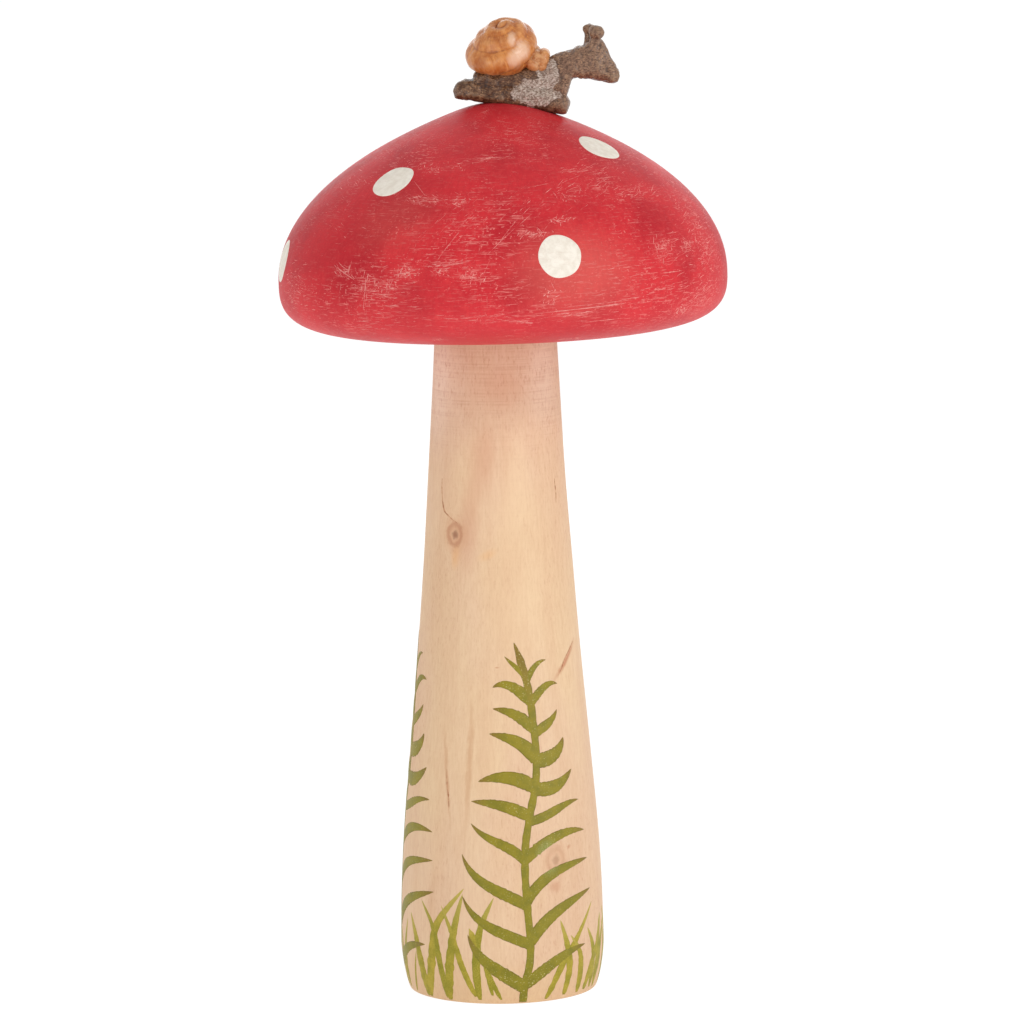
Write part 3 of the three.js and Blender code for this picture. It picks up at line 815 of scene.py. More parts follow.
fernShape = {
    "azimuths": [17.0, -86.3, 145.5],
    "lifts": [0.0, 0.5, 0.3],       # how much higher each one is painted than the first
    "stemWidth": 1.75,
    # The stem's middle line: distance across from its azimuth, and height
    "stem": [(-1.9, 0.35), (-1.7, 4.0), (-0.7, 9.0), (-0.5, 14.0), (-1.0, 21.0), (-1.35, 29.0), (-1.0, 35.5),
             (0.3, 42.0), (1.8, 48.5), (2.1, 55.5), (1.6, 63.0), (0.7, 69.5), (-0.6, 74.7), (-2.0, 79.0)],
    # Each leaf: height of its root, reach, rise to the tip, angles of root and tip over the level, and width
    "leftLeaves": [
        (71.2, 4.5, 4.9, 58, 50, 1.15), (66, 8.2, 3.4, 50, -35, 2.3), (60, 9, 4.8, 47, 6, 2.4),
        (53.3, 10.2, 6.1, 60, 10, 2.8), (47.3, 12.5, 1.7, 36, -20, 2.9), (41.2, 12.8, 3.5, 30, 3, 2.5),
        (31.6, 11.6, 8.3, 52, 52, 2.1), (21.8, 14.2, 11.3, 32, 72, 2.4), (13.1, 14.9, 10.8, 28, 70, 2.3),
        (3.6, 12.6, 11.9, 38, 72, 2.8)],
    "rightLeaves": [
        (70.4, 4.9, 4.4, 66, 0, 1.35), (65.6, 7, 3.7, 52, -24, 1.8), (59.1, 5.9, 4.7, 32, 66, 2.1),
        (53.2, 7.2, 4.4, -4, 76, 3.1), (47.2, 9.9, 3.2, -14, 46, 2.9), (40.1, 13.6, 3.4, 8, -2, 2),
        (31.8, 16.5, 4.8, 42, -12, 2.35), (22.6, 17, 7.8, 62, 4, 2.35), (13.7, 17.2, 9.9, 58, 14, 2.6),
        (4.2, 16, 7.4, 36, 4, 2.5)],
    "leafFullness": 1.1,            # all the leaves' widths are multiplied by this
    "leafRows": 44,
    "stemRows": 200,
    "leafStroke": {"columns": 14, "swell": 0.3, "taper": 0.72, "tip": 1.0, "root": 0.12, "thickness": 0.07,
                   "ragged": 0.035, "raggedSize": 0.9, "widerByShade": 0.0},
    "stemStroke": {"columns": 14, "swell": 0.0, "taper": 0.75, "tip": 0.075, "root": 1.0, "thickness": 0.08,
                   "ragged": 0.045, "raggedSize": 2.2, "widerByShade": 0.0},
}


# Leaves leave the stem and end at their given angles, on a cubic whose handles are 0.38 of the way across.
def fernLeafPaths(stem, leaves, side):
    root, reach, rise, rootAngle, tipAngle, width = np.array(leaves, float).T
    start = np.stack([np.interp(root, stem[:, 1], stem[:, 0]), root], axis=-1)
    end = start + np.stack([side * reach, rise], axis=-1)
    handle = 0.38 * np.hypot(reach, rise)[:, None]
    toward = lambda angle: np.stack([side * np.cos(np.radians(angle)), np.sin(np.radians(angle))], axis=-1)
    near, far = start + handle * toward(rootAngle), end - handle * toward(tipAngle)
    paths = [bezierArc(*ends, fernShape["leafRows"]) for ends in zip(start, near, far, end)]
    return np.stack(paths), width * fernShape["leafFullness"]


def buildFerns(material):
    s = fernShape
    stem = pathsThrough([s["stem"]], s["stemRows"])
    left, leftWidths = fernLeafPaths(stem[0], s["leftLeaves"], -1)
    right, rightWidths = fernLeafPaths(stem[0], s["rightLeaves"], 1)
    leaves, widths = np.concatenate([left, right]), np.concatenate([leftWidths, rightWidths])
    # The lift is a small step up that the very foot of the stem doesn't take
    lifts = np.array(s["lifts"])[:, None, None]
    raised = lambda lines: lines + [0, 1] * lifts[:, None] * np.clip(lines[..., 1:] / 3, 0, 1)
    stems = raised(stem).reshape(-1, s["stemRows"], 2)
    leaves = raised(leaves).reshape(-1, s["leafRows"], 2)
    azimuths = np.array(s["azimuths"])
    paintStrokes("fernStems", stalkSurface, azimuths, stems, np.full(len(stems), s["stemWidth"]),
                 s["stemStroke"], 21, material)
    paintStrokes("fernLeaves", stalkSurface, np.repeat(azimuths, len(widths)), leaves,
                 np.tile(widths, len(azimuths)), s["leafStroke"], 23, material)


# Grass: thin upright blades that cross each other, in clumps between the ferns

grassShape = {
    # Each blade: its width, and four points from foot to tip (distance from the clump's azimuth, height)
    "wideClump": [
        (2.3, (-3.3, 0.5), (-1.6, 9.5), (-0.1, 17), (6.8, 25.6)),
        (1.6, (1.8, 0.8), (0.5, 9.5), (-1.3, 16.5), (-4.9, 21.9)),
        (2.2, (-3.9, 0.5), (-5.2, 7.5), (-6.9, 13), (-9.4, 18.4)),
        (2.2, (2.3, 0.4), (3.3, 9), (4.5, 16.5), (6.5, 24.3)),
        (1.5, (8.7, 1.6), (6.2, 8.5), (4.1, 15), (1.1, 21.4)),
        (1.9, (9.5, 0.9), (9.6, 9), (10.6, 16.8), (13.5, 23.8)),
        (1.1, (14.2, 1), (12.7, 5.5), (11.2, 10), (9.9, 14)),
        (1, (12.5, 2), (12.2, 5), (11.6, 8.5), (11, 12)),
        (1.6, (9.9, 11.5), (9.4, 13.5), (8.8, 15.3), (8.1, 16.9)),
        (0.8, (-8.9, 0.7), (-8.3, 4), (-7.7, 7), (-7, 10.3)),
        (1.6, (-12.6, 1), (-13.2, 6), (-12.7, 11.5), (-11.2, 16.8)),
        (1.8, (-14.6, 1.2), (-15, 6), (-16, 11), (-18, 15))],
    "narrowClump": [
        (1.7, (-12.3, 0.6), (-9.4, 7.8), (-5, 13.5), (0.7, 20.5)),
        (1.9, (-7.7, 1), (-7.2, 7), (-8.1, 12.3), (-9.8, 17.9)),
        (1.8, (-3.7, 0.9), (-3.5, 5.3), (-4.2, 10), (-7, 14.2)),
        (2, (-1.3, 1.1), (0.9, 6.9), (3.2, 11.2), (5.2, 17.3)),
        (1.8, (3, 1.5), (4.6, 6.5), (5.4, 11), (8.3, 16)),
        (1.5, (7.5, 1.2), (8.2, 6), (8, 11), (6.4, 15.5)),
        (1.4, (10.6, 1), (10.4, 5), (11.6, 9.5), (14, 13.5))],
    "wideAzimuths": [-40.0, 103.0, 200.0],
    "narrowAzimuths": [60.0, 238.0],
    "rows": 44,
    "stroke": {"columns": 12, "swell": 0.3, "taper": 0.65, "tip": 0.85, "root": 0.006, "thickness": 0.04,
               "ragged": 0.07, "raggedSize": 1.4, "widerByShade": 0.0},
}


def buildGrass(material):
    s = grassShape
    clumps = [(azimuth, blade) for azimuth in s["wideAzimuths"] for blade in s["wideClump"]]
    clumps += [(azimuth, blade) for azimuth in s["narrowAzimuths"] for blade in s["narrowClump"]]
    azimuths, widths = [azimuth for azimuth, blade in clumps], [blade[0] for azimuth, blade in clumps]
    lines = pathsThrough([blade[1:] for azimuth, blade in clumps], s["rows"])
    paintStrokes("grassBlades", stalkSurface, azimuths, lines, widths, s["stroke"], 31, material)


fernPaint = {
    "base": ((133, 123, 25), (142, 127, 29)),       # at the foot, and higher up
    "streaks": (0.55, (160, 147, 42)),
    "thin": (0.6, (114, 110, 26)),
    "rim": (1.0, (112, 92, 34)),
    "tip": (0.6, (128, 92, 44)),
    "palerPatch": (1.0, (150, 158, 92)),
    "rubbedPlace": ((10.2, -19.3, 32.0), (3.2, 6.0, 4.4)),      # by the low knot: middle and radii
    "specks": (1.0, (212, 202, 140)),
}

grassPaint = {
    "base": ((132, 126, 24), (172, 152, 46)),
    "streaks": (0.65, (200, 180, 76)),
    "thin": (0.6, (126, 124, 22)),
    "tip": (0.4, (210, 188, 108)),
}


# The brush marks of the stroke that a place lies in.
def useBrush(tree, place):
    stroke = addNode(tree, "ShaderNodeUVMap", uv_map="stroke").outputs[0]
    return useGroup(tree, brushGroup, {"Vector": place, "Stroke": stroke})


def makeFernPaint():
    material, tree, shader, place = newMaterial("oliveFernPaint", Specular_IOR_Level=0.3)
    p = fernPaint
    brush = useBrush(tree, place)
    height = addAxes(place)["Z"]
    darkRim = addMath("MULTIPLY", addRange(readShare(tree, "rim"), 0.72, 0.98),
                      addRange(brush["Thin"], 0.1, 0.8, 0.2, 0.6))
    base = addTones(p["base"], addRange(height, 5, 60))
    base = addCoats(base, p, {"streaks": brush["Streaks"], "thin": brush["Thin"], "rim": darkRim,
                              "tip": addRange(readShare(tree, "fromRoot"), 0.72, 1.0)})

    # Pale specks, thickest where the lowest leaves leave the stem, towards the top and in a few worn places
    _, distance = addAway(place, *p["rubbedPlace"])
    palerPatch = addRange(distance, 1.1, 0.5)
    worn = addNoise(place, 0.12, 2.0, 0.5, shift=(4, 9, 1), between=(0.56, 0.66, 0.3, 0.9))
    for share in (palerPatch, addRange(height, 56, 72, 0.0, 0.9), addRange(height, 12, 5, 0.3, 0.9)):
        worn = addMath("MAXIMUM", worn, share)
    base = addCoats(base, p, {"palerPatch": addMath("MULTIPLY", palerPatch, brush["Streaks"]),
                              "specks": addMath("MULTIPLY", brush["Specks"], worn)})
    roughness = addRange(brush["Streaks"], 0, 1, 0.42, 0.6)
    finishPaint(tree, shader, base, roughness, brush["Streaks"], 0.2, 0.05)
    return material


def makeGrassPaint():
    material, tree, shader, place = newMaterial("thinGrassPaint", Specular_IOR_Level=0.25)
    brush = useBrush(tree, place)
    base = addTones(grassPaint["base"], readShare(tree, "shade"))
    base = addCoats(base, grassPaint, {"streaks": brush["Streaks"], "thin": brush["Thin"],
                                       "tip": addRange(readShare(tree, "fromRoot"), 0.6, 1.0)})
    roughness = addRange(brush["Streaks"], 0, 1, 0.48, 0.62)
    finishPaint(tree, shader, base, roughness, brush["Streaks"], 0.15, 0.04)
    return material


# Hair cracks in the wood, by the knots and streaks

hairCracks = {
    # Each crack: its width, and five points along it (azimuth, height)
    "cracks": [
        (0.3, (-52.2, 114), (-51.8, 111), (-48.6, 107.4), (-43.2, 106.1), (-34, 104.6)),
        (0.3, (55.4, 113.6), (55.8, 112.2), (56.2, 110.8), (56.2, 109.6), (55.6, 108.2)),
        (0.34, (-35.6, 51.2), (-35.3, 49), (-34.7, 47.2), (-33.8, 45.5), (-33.1, 42.6)),
        (0.3, (44.5, 71), (48, 72.3), (52, 74.1), (58, 75.8), (66, 77.7)),
        (0.3, (150.4, 96), (150.9, 98.5), (151.2, 101), (150.9, 103.5), (150.2, 106))],
    "rows": 36,
    "stain": ((172, 116, 82), (208, 160, 124)),
    "stroke": {"columns": 8, "swell": 0.35, "taper": 0.35, "tip": 1.0, "root": 0.01, "thickness": 0.012,
               "ragged": 0.25, "raggedSize": 1.0, "widerByShade": 0.0},
}


def buildHairCracks(material):
    s = hairCracks
    points = np.array([crack[1:] for crack in s["cracks"]])
    radius = np.interp(points[..., 1], stalkSurface["along"], stalkSurface["radius"])
    points[..., 0] = np.radians(points[..., 0]) * radius
    lines = pathsThrough(points, s["rows"])
    widths = [crack[0] for crack in s["cracks"]]
    paintStrokes("hairCracks", stalkSurface, np.zeros(len(lines)), lines, widths, s["stroke"], 41, material)


def makeCrackStain():
    material, tree, shader, place = newMaterial("crackStain", Roughness=0.7, Specular_IOR_Level=0.2)
    stain = addTones(hairCracks["stain"], addNoise(place, 0.8, between=(0.35, 0.65)))
    fillSockets(tree, shader.inputs, {"Base Color": stain})
    return material


# Rub marks on the cap: hairlines where the red is worn down to the pale primer

rubMarks = {
    # Each patch: azimuth, distance over the cap from the crown, half width, half height, number of marks, and
    # their slant, scatter and length
    "patches": [
        (-24.5, 60.8, 2.2, 1.4, 150, 10, 60, 0.6), (-31, 64.2, 6, 2.2, 130, 2, 12, 1.3),
        (-33, 63.6, 4.5, 2.2, 60, 80, 12, 1.3), (-36.5, 65, 0.7, 3, 22, 86, 5, 2.6),
        (-44.5, 61.3, 3.8, 0.9, 44, -26, 14, 1.6), (-42.5, 60.4, 1.2, 1.4, 14, 74, 10, 1.4),
        (-13, 59.2, 4.4, 0.7, 50, 5, 8, 2.4), (-16, 60.6, 2.2, 0.9, 40, 10, 60, 0.7),
        (-8, 61.5, 1.8, 1.3, 60, 70, 50, 0.9), (-23, 43.4, 5.6, 1.5, 120, -14, 22, 1.2),
        (-13, 44.2, 1.6, 1.4, 44, 40, 50, 0.9), (-4.5, 30.2, 4.6, 0.6, 44, 3, 8, 1.6),
        (-26, 34, 2.6, 1.6, 44, -30, 50, 0.8), (-17, 33, 2.6, 1.8, 30, 10, 50, 0.8),
        (10, 53, 2.4, 0.9, 70, 14, 40, 0.9), (16.5, 49.6, 2.4, 0.8, 40, 20, 50, 0.7),
        (6, 52.6, 1.2, 1, 24, 30, 60, 0.7), (21, 44, 2.5, 1.5, 30, 10, 60, 0.7),
        (12, 66.8, 1.6, 2.6, 60, 60, 50, 0.7), (18, 70.6, 6, 0.7, 60, 3, 4, 2.6),
        (50, 59, 10, 3.8, 180, 4, 7, 2.2), (44, 58.5, 1.6, 2.4, 44, 78, 12, 1.2),
        (56.5, 58, 2.2, 1.3, 60, 50, 50, 0.8), (48, 57.2, 2.4, 1.2, 44, -8, 50, 0.8),
        (60, 71.5, 9, 3.6, 280, 16, 26, 1.4), (52, 72.4, 1.8, 1.1, 70, -10, 60, 0.7),
        (46, 66.6, 6, 0.5, 30, 4, 5, 2.2), (48, 43.4, 6.5, 2.2, 80, 16, 12, 2.2),
        (42, 36.5, 7.5, 2.6, 60, 16, 12, 2.6), (30, 35.5, 5, 1.2, 40, 4, 10, 1.8),
        (28, 41, 8, 4.5, 70, 30, 10, 4), (-62, 39, 6, 2.6, 60, -14, 14, 2.4),
        (-55, 50, 9, 5, 60, -10, 16, 1.6), (-6, 70.8, 9, 1, 90, 5, 8, 2),
        (4, 71.8, 2.6, 0.5, 30, -4, 10, 1.5), (-18.6, 77.6, 1.5, 0.8, 34, -16, 20, 0.9),
        (20, 79.6, 2.4, 0.5, 40, 2, 10, 1), (-10, 50, 10, 5, 110, 50, 6, 5),
        (6, 45, 9, 6, 70, 44, 6, 5), (-30, 70, 12, 5, 200, 1, 5, 3.2),
        (0, 64, 16, 6, 120, 3, 5, 4), (34, 66, 14, 6, 120, 3, 5, 4),
        (-70, 68, 9, 5, 80, 2, 20, 1.6), (78, 66, 10, 6, 100, 6, 20, 1.8),
        (108, 64, 18, 7, 150, 5, 10, 2.2), (140, 50, 16, 9, 100, 16, 14, 2),
        (-155, 62, 18, 8, 150, 3, 10, 2.2), (-112, 58, 14, 9, 110, -8, 14, 2),
        (178, 40, 16, 9, 80, 12, 16, 2.4), (80, 48, 9, 14, 120, 10, 20, 1.6),
        (168, 70, 20, 5, 130, 3, 8, 2.2), (66, 57, 5, 7, 260, 8, 20, 1.6),
        (62, 69, 6, 4, 180, 12, 20, 1.6), (-66, 66, 6, 5, 230, 2, 12, 1.5),
        (-40, 74, 8, 2.5, 110, 2, 6, 1.6)],
    "looseMarks": 1100,             # more, spread over the whole dome
    "longMarks": 420,               # thin level ones towards the rim, and their mean length
    "longLength": 9.0,
    "wear": 9.0,                    # marks per square millimetre at which the red is mostly worn down
    "spread": 0.6,                  # of a patch's marks, as a share of its half width and half height
    # Long scratches: azimuth and distance from the crown at each end, and width
    "scratches": [
        (-17.8, 59.8, -11.4, 51, 0.16), (-12.2, 51.4, -7.6, 46, 0.1), (-3.8, 57.2, 3.4, 51, 0.14),
        (-1.2, 55, 5.4, 47.6, 0.1), (-5.4, 62.4, -3, 58, 0.1), (-32, 37.8, -23.5, 42.6, 0.16),
        (9, 69.9, 35.2, 68.8, 0.26), (15, 68.9, 33, 68.3, 0.14), (20, 72.6, 33, 72.3, 0.14),
        (43.6, 63.4, 51.5, 63.4, 0.24), (-15.6, 59.4, -9.6, 58.8, 0.22), (-48, 60, -40.2, 62.8, 0.2),
        (-8.4, 29.9, 1.2, 29.7, 0.2), (30, 36.2, 41, 33.6, 0.14), (30, 39, 47, 38.6, 0.14),
        (118, 55, 128, 66, 0.18), (-140, 50, -128, 58, 0.16), (160, 68, 185, 67, 0.22),
        (84, 70, 100, 69.2, 0.22), (-110, 69, -92, 70.4, 0.22)],
    "primer": ((212, 74, 76), (250, 188, 178)),     # still half red, and bare
    "rows": 4,
    "longRows": 14,
    "stroke": {"columns": 4, "swell": 0.4, "taper": 0.4, "tip": 1.0, "root": 0.02, "thickness": 0.1,
               "ragged": 0.25, "raggedSize": 0.8, "widerByShade": 1.6},
}


# How worn the cap is at a place: patches fade out like the bell curve that their marks are scattered by.
def wornAt(azimuth, along):
    parallel = np.interp(along, capPlaces, capProfile[:, 0])
    density = np.zeros(along.shape)
    for middle, distance, halfWidth, halfHeight, count, *_ in rubMarks["patches"]:
        turn = np.mod(azimuth - math.radians(middle) + math.pi, 2 * math.pi) - math.pi
        away = (turn * parallel / halfWidth) ** 2 + ((along + distance) / halfHeight) ** 2
        density += count / (halfWidth * halfHeight) * np.exp(-away / (2 * rubMarks["spread"] ** 2))
    return 1 - np.exp(-density / rubMarks["wear"])


# Marks about their middles (across, along), with a slant in degrees, a mean length and a slight bow.
def markLines(chance, middles, slants, lengths, rows):
    slants = np.radians(slants)
    lengths = (lengths * chance.gamma(3.0, 0.33, len(slants)))[:, None]
    reach = 0.5 * lengths * np.stack([np.cos(slants), np.sin(slants)], axis=-1)
    t = np.linspace(-1, 1, rows)[None, :, None]
    bow = 0.02 * lengths * chance.normal(size=(len(slants), 2))
    return middles[:, None] + t * reach[:, None] + (1 - t * t) * bow[:, None]


def buildRubMarks(material):
    s = rubMarks
    chance = np.random.default_rng(51)
    patches = np.array(s["patches"], float)
    each = np.repeat(patches, patches[:, 4].astype(int), axis=0).T
    azimuth, distance, halfWidth, halfHeight, _, slant, scatter, length = each
    spread = s["spread"] * chance.normal(size=(2, len(azimuth)))
    middles = np.stack([spread[0] * halfWidth, spread[1] * halfHeight - distance], axis=-1)
    slant = slant + scatter * chance.normal(size=len(slant))
    # More marks all over the dome, mostly level
    loose = s["looseMarks"]
    azimuth = np.append(azimuth, chance.uniform(-180, 180, loose))
    overDome = -np.sqrt(chance.uniform(15 ** 2, 84 ** 2, loose))
    middles = np.vstack([middles, np.stack([np.zeros(loose), overDome], axis=-1)])
    slant = np.append(slant, 5 + 12 * chance.normal(size=loose))
    lines = markLines(chance, middles, slant, np.append(length, np.full(loose, 2.0)), s["rows"])
    # Small patches are rubbed harder than wide ones and the loose marks
    hard = np.append(np.clip(1.1 - 0.05 * halfWidth, 0.6, 1), np.full(loose, 0.5))
    width = chance.uniform(0.045, 0.12, len(lines))
    shade = hard * (0.15 + 0.85 * chance.uniform(0, 1, len(lines)) ** 1.3)
    paintStrokes("rubMarks", capSurface, azimuth, lines, width, s["stroke"], 52, material, shade)

    # Long thin ones near the rim, as a sanding pad leaves them, and scratches from end to end
    long = s["longMarks"]
    middles = np.stack([np.zeros(long), -chance.uniform(42, 84, long)], axis=-1)
    level = markLines(chance, middles, 2 + 3 * chance.normal(size=long), s["longLength"], s["longRows"])
    startAzimuth, startDistance, endAzimuth, endDistance, scratchWidth = np.array(s["scratches"], float).T
    parallel = np.interp(-startDistance, capPlaces, capProfile[:, 0])
    start = np.stack([np.zeros(len(parallel)), -startDistance], axis=-1)[:, None]
    end = np.stack([np.radians(endAzimuth - startAzimuth) * parallel, -endDistance], axis=-1)[:, None]
    t = np.linspace(0, 1, s["longRows"])[None, :, None]
    azimuth = np.append(chance.uniform(-180, 180, long), startAzimuth)
    width = np.append(chance.uniform(0.03, 0.07, long), 0.6 * scratchWidth)
    shade = np.append(0.5 * chance.uniform(0, 1, long) ** 1.5, chance.uniform(0.5, 0.8, len(parallel)))
    longLines = np.concatenate([level, start + t * (end - start)])
    paintStrokes("longRubMarks", capSurface, azimuth, longLines, width, s["stroke"], 53, material, shade)
    print("rub marks:", len(lines), "short and", len(shade), "long")


def makeRubMaterial():
    material, tree, shader, place = newMaterial("wornPrimer", Roughness=0.6, Specular_IOR_Level=0.25)
    patchy = addNoise(place, 1.6, 3.0, 0.6, between=(0.35, 0.65))
    patchy = addMath("MULTIPLY_ADD", patchy, 0.5, 0.5)
    bare = addMath("MULTIPLY", readShare(tree, "shade"), patchy)
    fillSockets(tree, shader.inputs, {"Base Color": addTones(rubMarks["primer"], bare)})
    return material


# Snail, in its own frame: +X forwards, z = 0 at its sole

snailShape = {
    "forward": 1.8,
    "sink": 1.05,
    "soleGap": 0.05,        # how much larger than the crown the hollow under it is
    "pitch": 10.0,          # degrees, nose down
    "bodyLength": 25.0,
    "tailReach": 11.7,
    "footHalfWidth": 4.0,
    "footHeight": 5.6,
    "headReach": 23.2,
    "headTop": 17.1,
    "headFloor": 8.4,
    "neckRoot": 5.5,
    "headHalfWidth": 3.2,
    "saddleTop": 8.4,
    "saddleHalfWidth": 3.1,
    "eyeSpread": 1.7,
    "eyeHeight": 3.2,
    "voxel": 0.16,
    "smoothing": 4,
    "lumps": [(3.4, 0.1), (1.4, 0.045), (0.7, 0.018)],   # size and depth of the hand-modelled unevenness
}

shellShape = {
    "turns": 3.3,
    "firstTurn": 0.15,
    "radius": 9.1,
    "growth": 0.71,
    "rise": 7.6,
    "riseGrowth": 2.2,
    "drift": 1.5,
    "whorlShare": 0.345,
    # The whorl itself, and thinner skins that fill the seam: the share of the way back to the whorl one turn
    # before, and the fullness
    "fillings": [(0.0, 1.0), (0.2, 0.965), (0.35, 0.905), (0.5, 0.84), (0.65, 0.905), (0.8, 0.965)],
    "mouthAngle": 44.0,
    "lean": 28.0,
    "tip": 23.0,
    "apex": (-3.4, -2.9, 17.32),
    "bulbRadius": 1.5,
    "base": (-1.5, -0.4, 9.8),
    "baseRadii": (5.1, 6.4, 3.35),
    "baseTip": 8.0,
    "lip": (5.2, -0.2, 10.9),
    # The lip's lobes: middle and radii
    "lobes": [
        ((6.3, -0.7, 12.1), (1.5, 2.5, 1.55)), ((4.9, -1.1, 11.2), (1.9, 2.6, 1.8)),
        ((5.9, -1.2, 11.0), (1.9, 2.3, 2.1)), ((5.6, 1.2, 11.0), (1.8, 2.4, 2.0)),
        ((3.9, -1.9, 9.9), (2.1, 2.1, 1.5)), ((6.2, -1.0, 9.9), (1.5, 2.2, 1.5))],
    "lipLean": 24.0,
    "lipNeck": 1.9,
    "voxel": 0.14,
    "lumps": [(4.0, 0.06), (1.2, 0.012)],
    "smoothing": 8,
}

snailPose = capPose @ shiftBy(snailShape["forward"], 0, capShape["rimDepth"] + capShape["domeHeight"]
                              - snailShape["sink"]) @ turnAboutY(snailShape["pitch"])


# The coil's axis points up from its apex, leaning to the viewer's side and back.
coilPose = (shiftBy(*shellShape["apex"]) @ turnAboutY(-shellShape["tip"])
            @ np.array(Matrix.Rotation(math.radians(shellShape["lean"]), 4, "X")))


# An ellipsoid as rings from its lowest point up, tilted about Y.
def ballSkin(middle, radii, tilt=0.0, rows=24, columns=36):
    polar = np.linspace(0, math.pi, rows + 2)[1:-1]
    profile = np.stack([np.sin(polar), -np.cos(polar)], axis=-1)
    pose = shiftBy(*middle) @ turnAboutY(tilt) @ np.diag([*radii, 1.0])
    rings = placed(turnedRings(profile, columns), pose)
    ends = placed(np.array([[0, 0, -1.0], [0, 0, 1.0]]), pose)
    return skinsFromRings(rings[None], ends[:1], ends[1:])


# A round bar between two points, with a radius at each.
def barSkin(start, end, startRadius, endRadius, columns=28):
    start, end = np.asarray(start, float), np.asarray(end, float)
    along = (end - start) / np.linalg.norm(end - start)
    across = np.cross(along, [0.0, 1.0, 0.0])
    across /= np.linalg.norm(across)
    third = np.cross(along, across)
    turn = fullTurn(columns)[:, None]
    circle = np.cos(turn) * across + np.sin(turn) * third
    rings = np.stack([start + startRadius * circle, end + endRadius * circle])
    return skinsFromRings(rings[None], start[None], end[None])


# The coil after a number of turns: its share of the full radius is (turns / all turns)^growth, the drop is
# that to a power, and each whorl is a circle that lies against the coil's outside.
def whorlsAt(turns):
    s = shellShape
    share = (turns / s["turns"]) ** s["growth"]
    drop = share ** s["riseGrowth"]
    radius = s["whorlShare"] * s["radius"] * share
    angle = math.radians(s["mouthAngle"]) + 2 * math.pi * (s["turns"] - turns)
    outward = np.stack([np.cos(angle), np.sin(angle), np.zeros_like(angle)], axis=-1)
    middle = outward * (s["radius"] * share - radius)[:, None]
    middle += np.stack([-s["drift"] * drop, np.zeros_like(drop), -s["rise"] * drop], axis=-1)
    return middle, radius, outward


# A skin along the coil, some share of the way back to the whorl one turn before, and fuller or thinner.
def coilSkin(back, fullness):
    s = shellShape
    turns = np.linspace(s["firstTurn"] + math.ceil(back), s["turns"], 200)
    middle, radius, outward = whorlsAt(turns)
    before, smaller, _ = whorlsAt(np.maximum(turns - 1, 0))
    middle = middle + back * (before - middle)
    radius = fullness * (radius + back * (smaller - radius))
    turn = fullTurn(56)[None, :, None]
    across = np.cos(turn) * outward[:, None, :] + np.sin(turn) * np.array([0, 0, 1.0])
    rings = placed(middle[:, None, :] + radius[:, None, None] * across, coilPose)
    middle = placed(middle, coilPose)
    return skinsFromRings(rings[None], middle[:1], middle[-1:])


def shellSkins():
    s = shellShape
    middle, radius, _ = whorlsAt(np.array([s["turns"]]))
    mouth = placed(middle, coilPose)[0]
    bulb = placed(np.array([[0, 0, -0.6 * s["bulbRadius"]]]), coilPose)[0]
    return [
        *[coilSkin(back, fullness) for back, fullness in s["fillings"]],
        ballSkin(bulb, [s["bulbRadius"]] * 3),
        ballSkin(mouth, [radius[0]] * 3),
        barSkin(mouth, s["lip"], 0.85 * radius[0], s["lipNeck"]),
        ballSkin(s["base"], s["baseRadii"], -s["baseTip"]),
        *[ballSkin(middle, radii, s["lipLean"]) for middle, radii in s["lobes"]],
    ]


# Body sections: a superellipse across at each x, narrowed upwards by its taper. The rows give, at shares of
# the length, the floor, top and half width as shares, and the taper. A smooth line runs through each column.
def bodySkin(start, end, height, halfWidth, rows):
    rows = np.array(rows, float)
    at = np.linspace(0, 1, 150)
    slopes = np.gradient(rows[:, 1:], rows[:, 0], axis=0)
    cell = np.clip(np.searchsorted(rows[:, 0], at, side="right") - 1, 0, len(rows) - 2)
    width = (rows[cell + 1, 0] - rows[cell, 0])[:, None]
    t = ((at - rows[cell, 0])[:, None]) / width
    value = easedBetween(t, rows[cell, 1:], rows[cell + 1, 1:],
                         slopes[cell] * width, slopes[cell + 1] * width)
    floor, top, across, taper = (value * [height, height, halfWidth, 1]).T
    turn = fullTurn(48)
    squared = lambda v: np.sign(v) * np.abs(v) ** (2 / 2.6)
    side, up = squared(np.cos(turn)), squared(np.sin(turn))
    x = np.broadcast_to((start + at * (end - start))[:, None], (len(at), len(turn)))
    y = across[:, None] * side * (1 - taper[:, None] * up)
    z = (floor + top)[:, None] / 2 + (top - floor)[:, None] / 2 * up
    rings = np.stack([x, y, z], axis=-1)
    return skinsFromRings(rings[None], rings[:1].mean(axis=1), rings[-1:].mean(axis=1))


def eyeSkins(at, side, stalkRadius, beadRadius):
    s = snailShape
    foot = (at + 0.2, side * 0.85 * s["eyeSpread"], 0.86 * s["headTop"])
    bead = (at, side * s["eyeSpread"], s["headTop"] + s["eyeHeight"] - beadRadius)
    return [barSkin(foot, bead, 1.25 * stalkRadius, stalkRadius),
            ballSkin(bead, (beadRadius, beadRadius, 0.95 * beadRadius))]


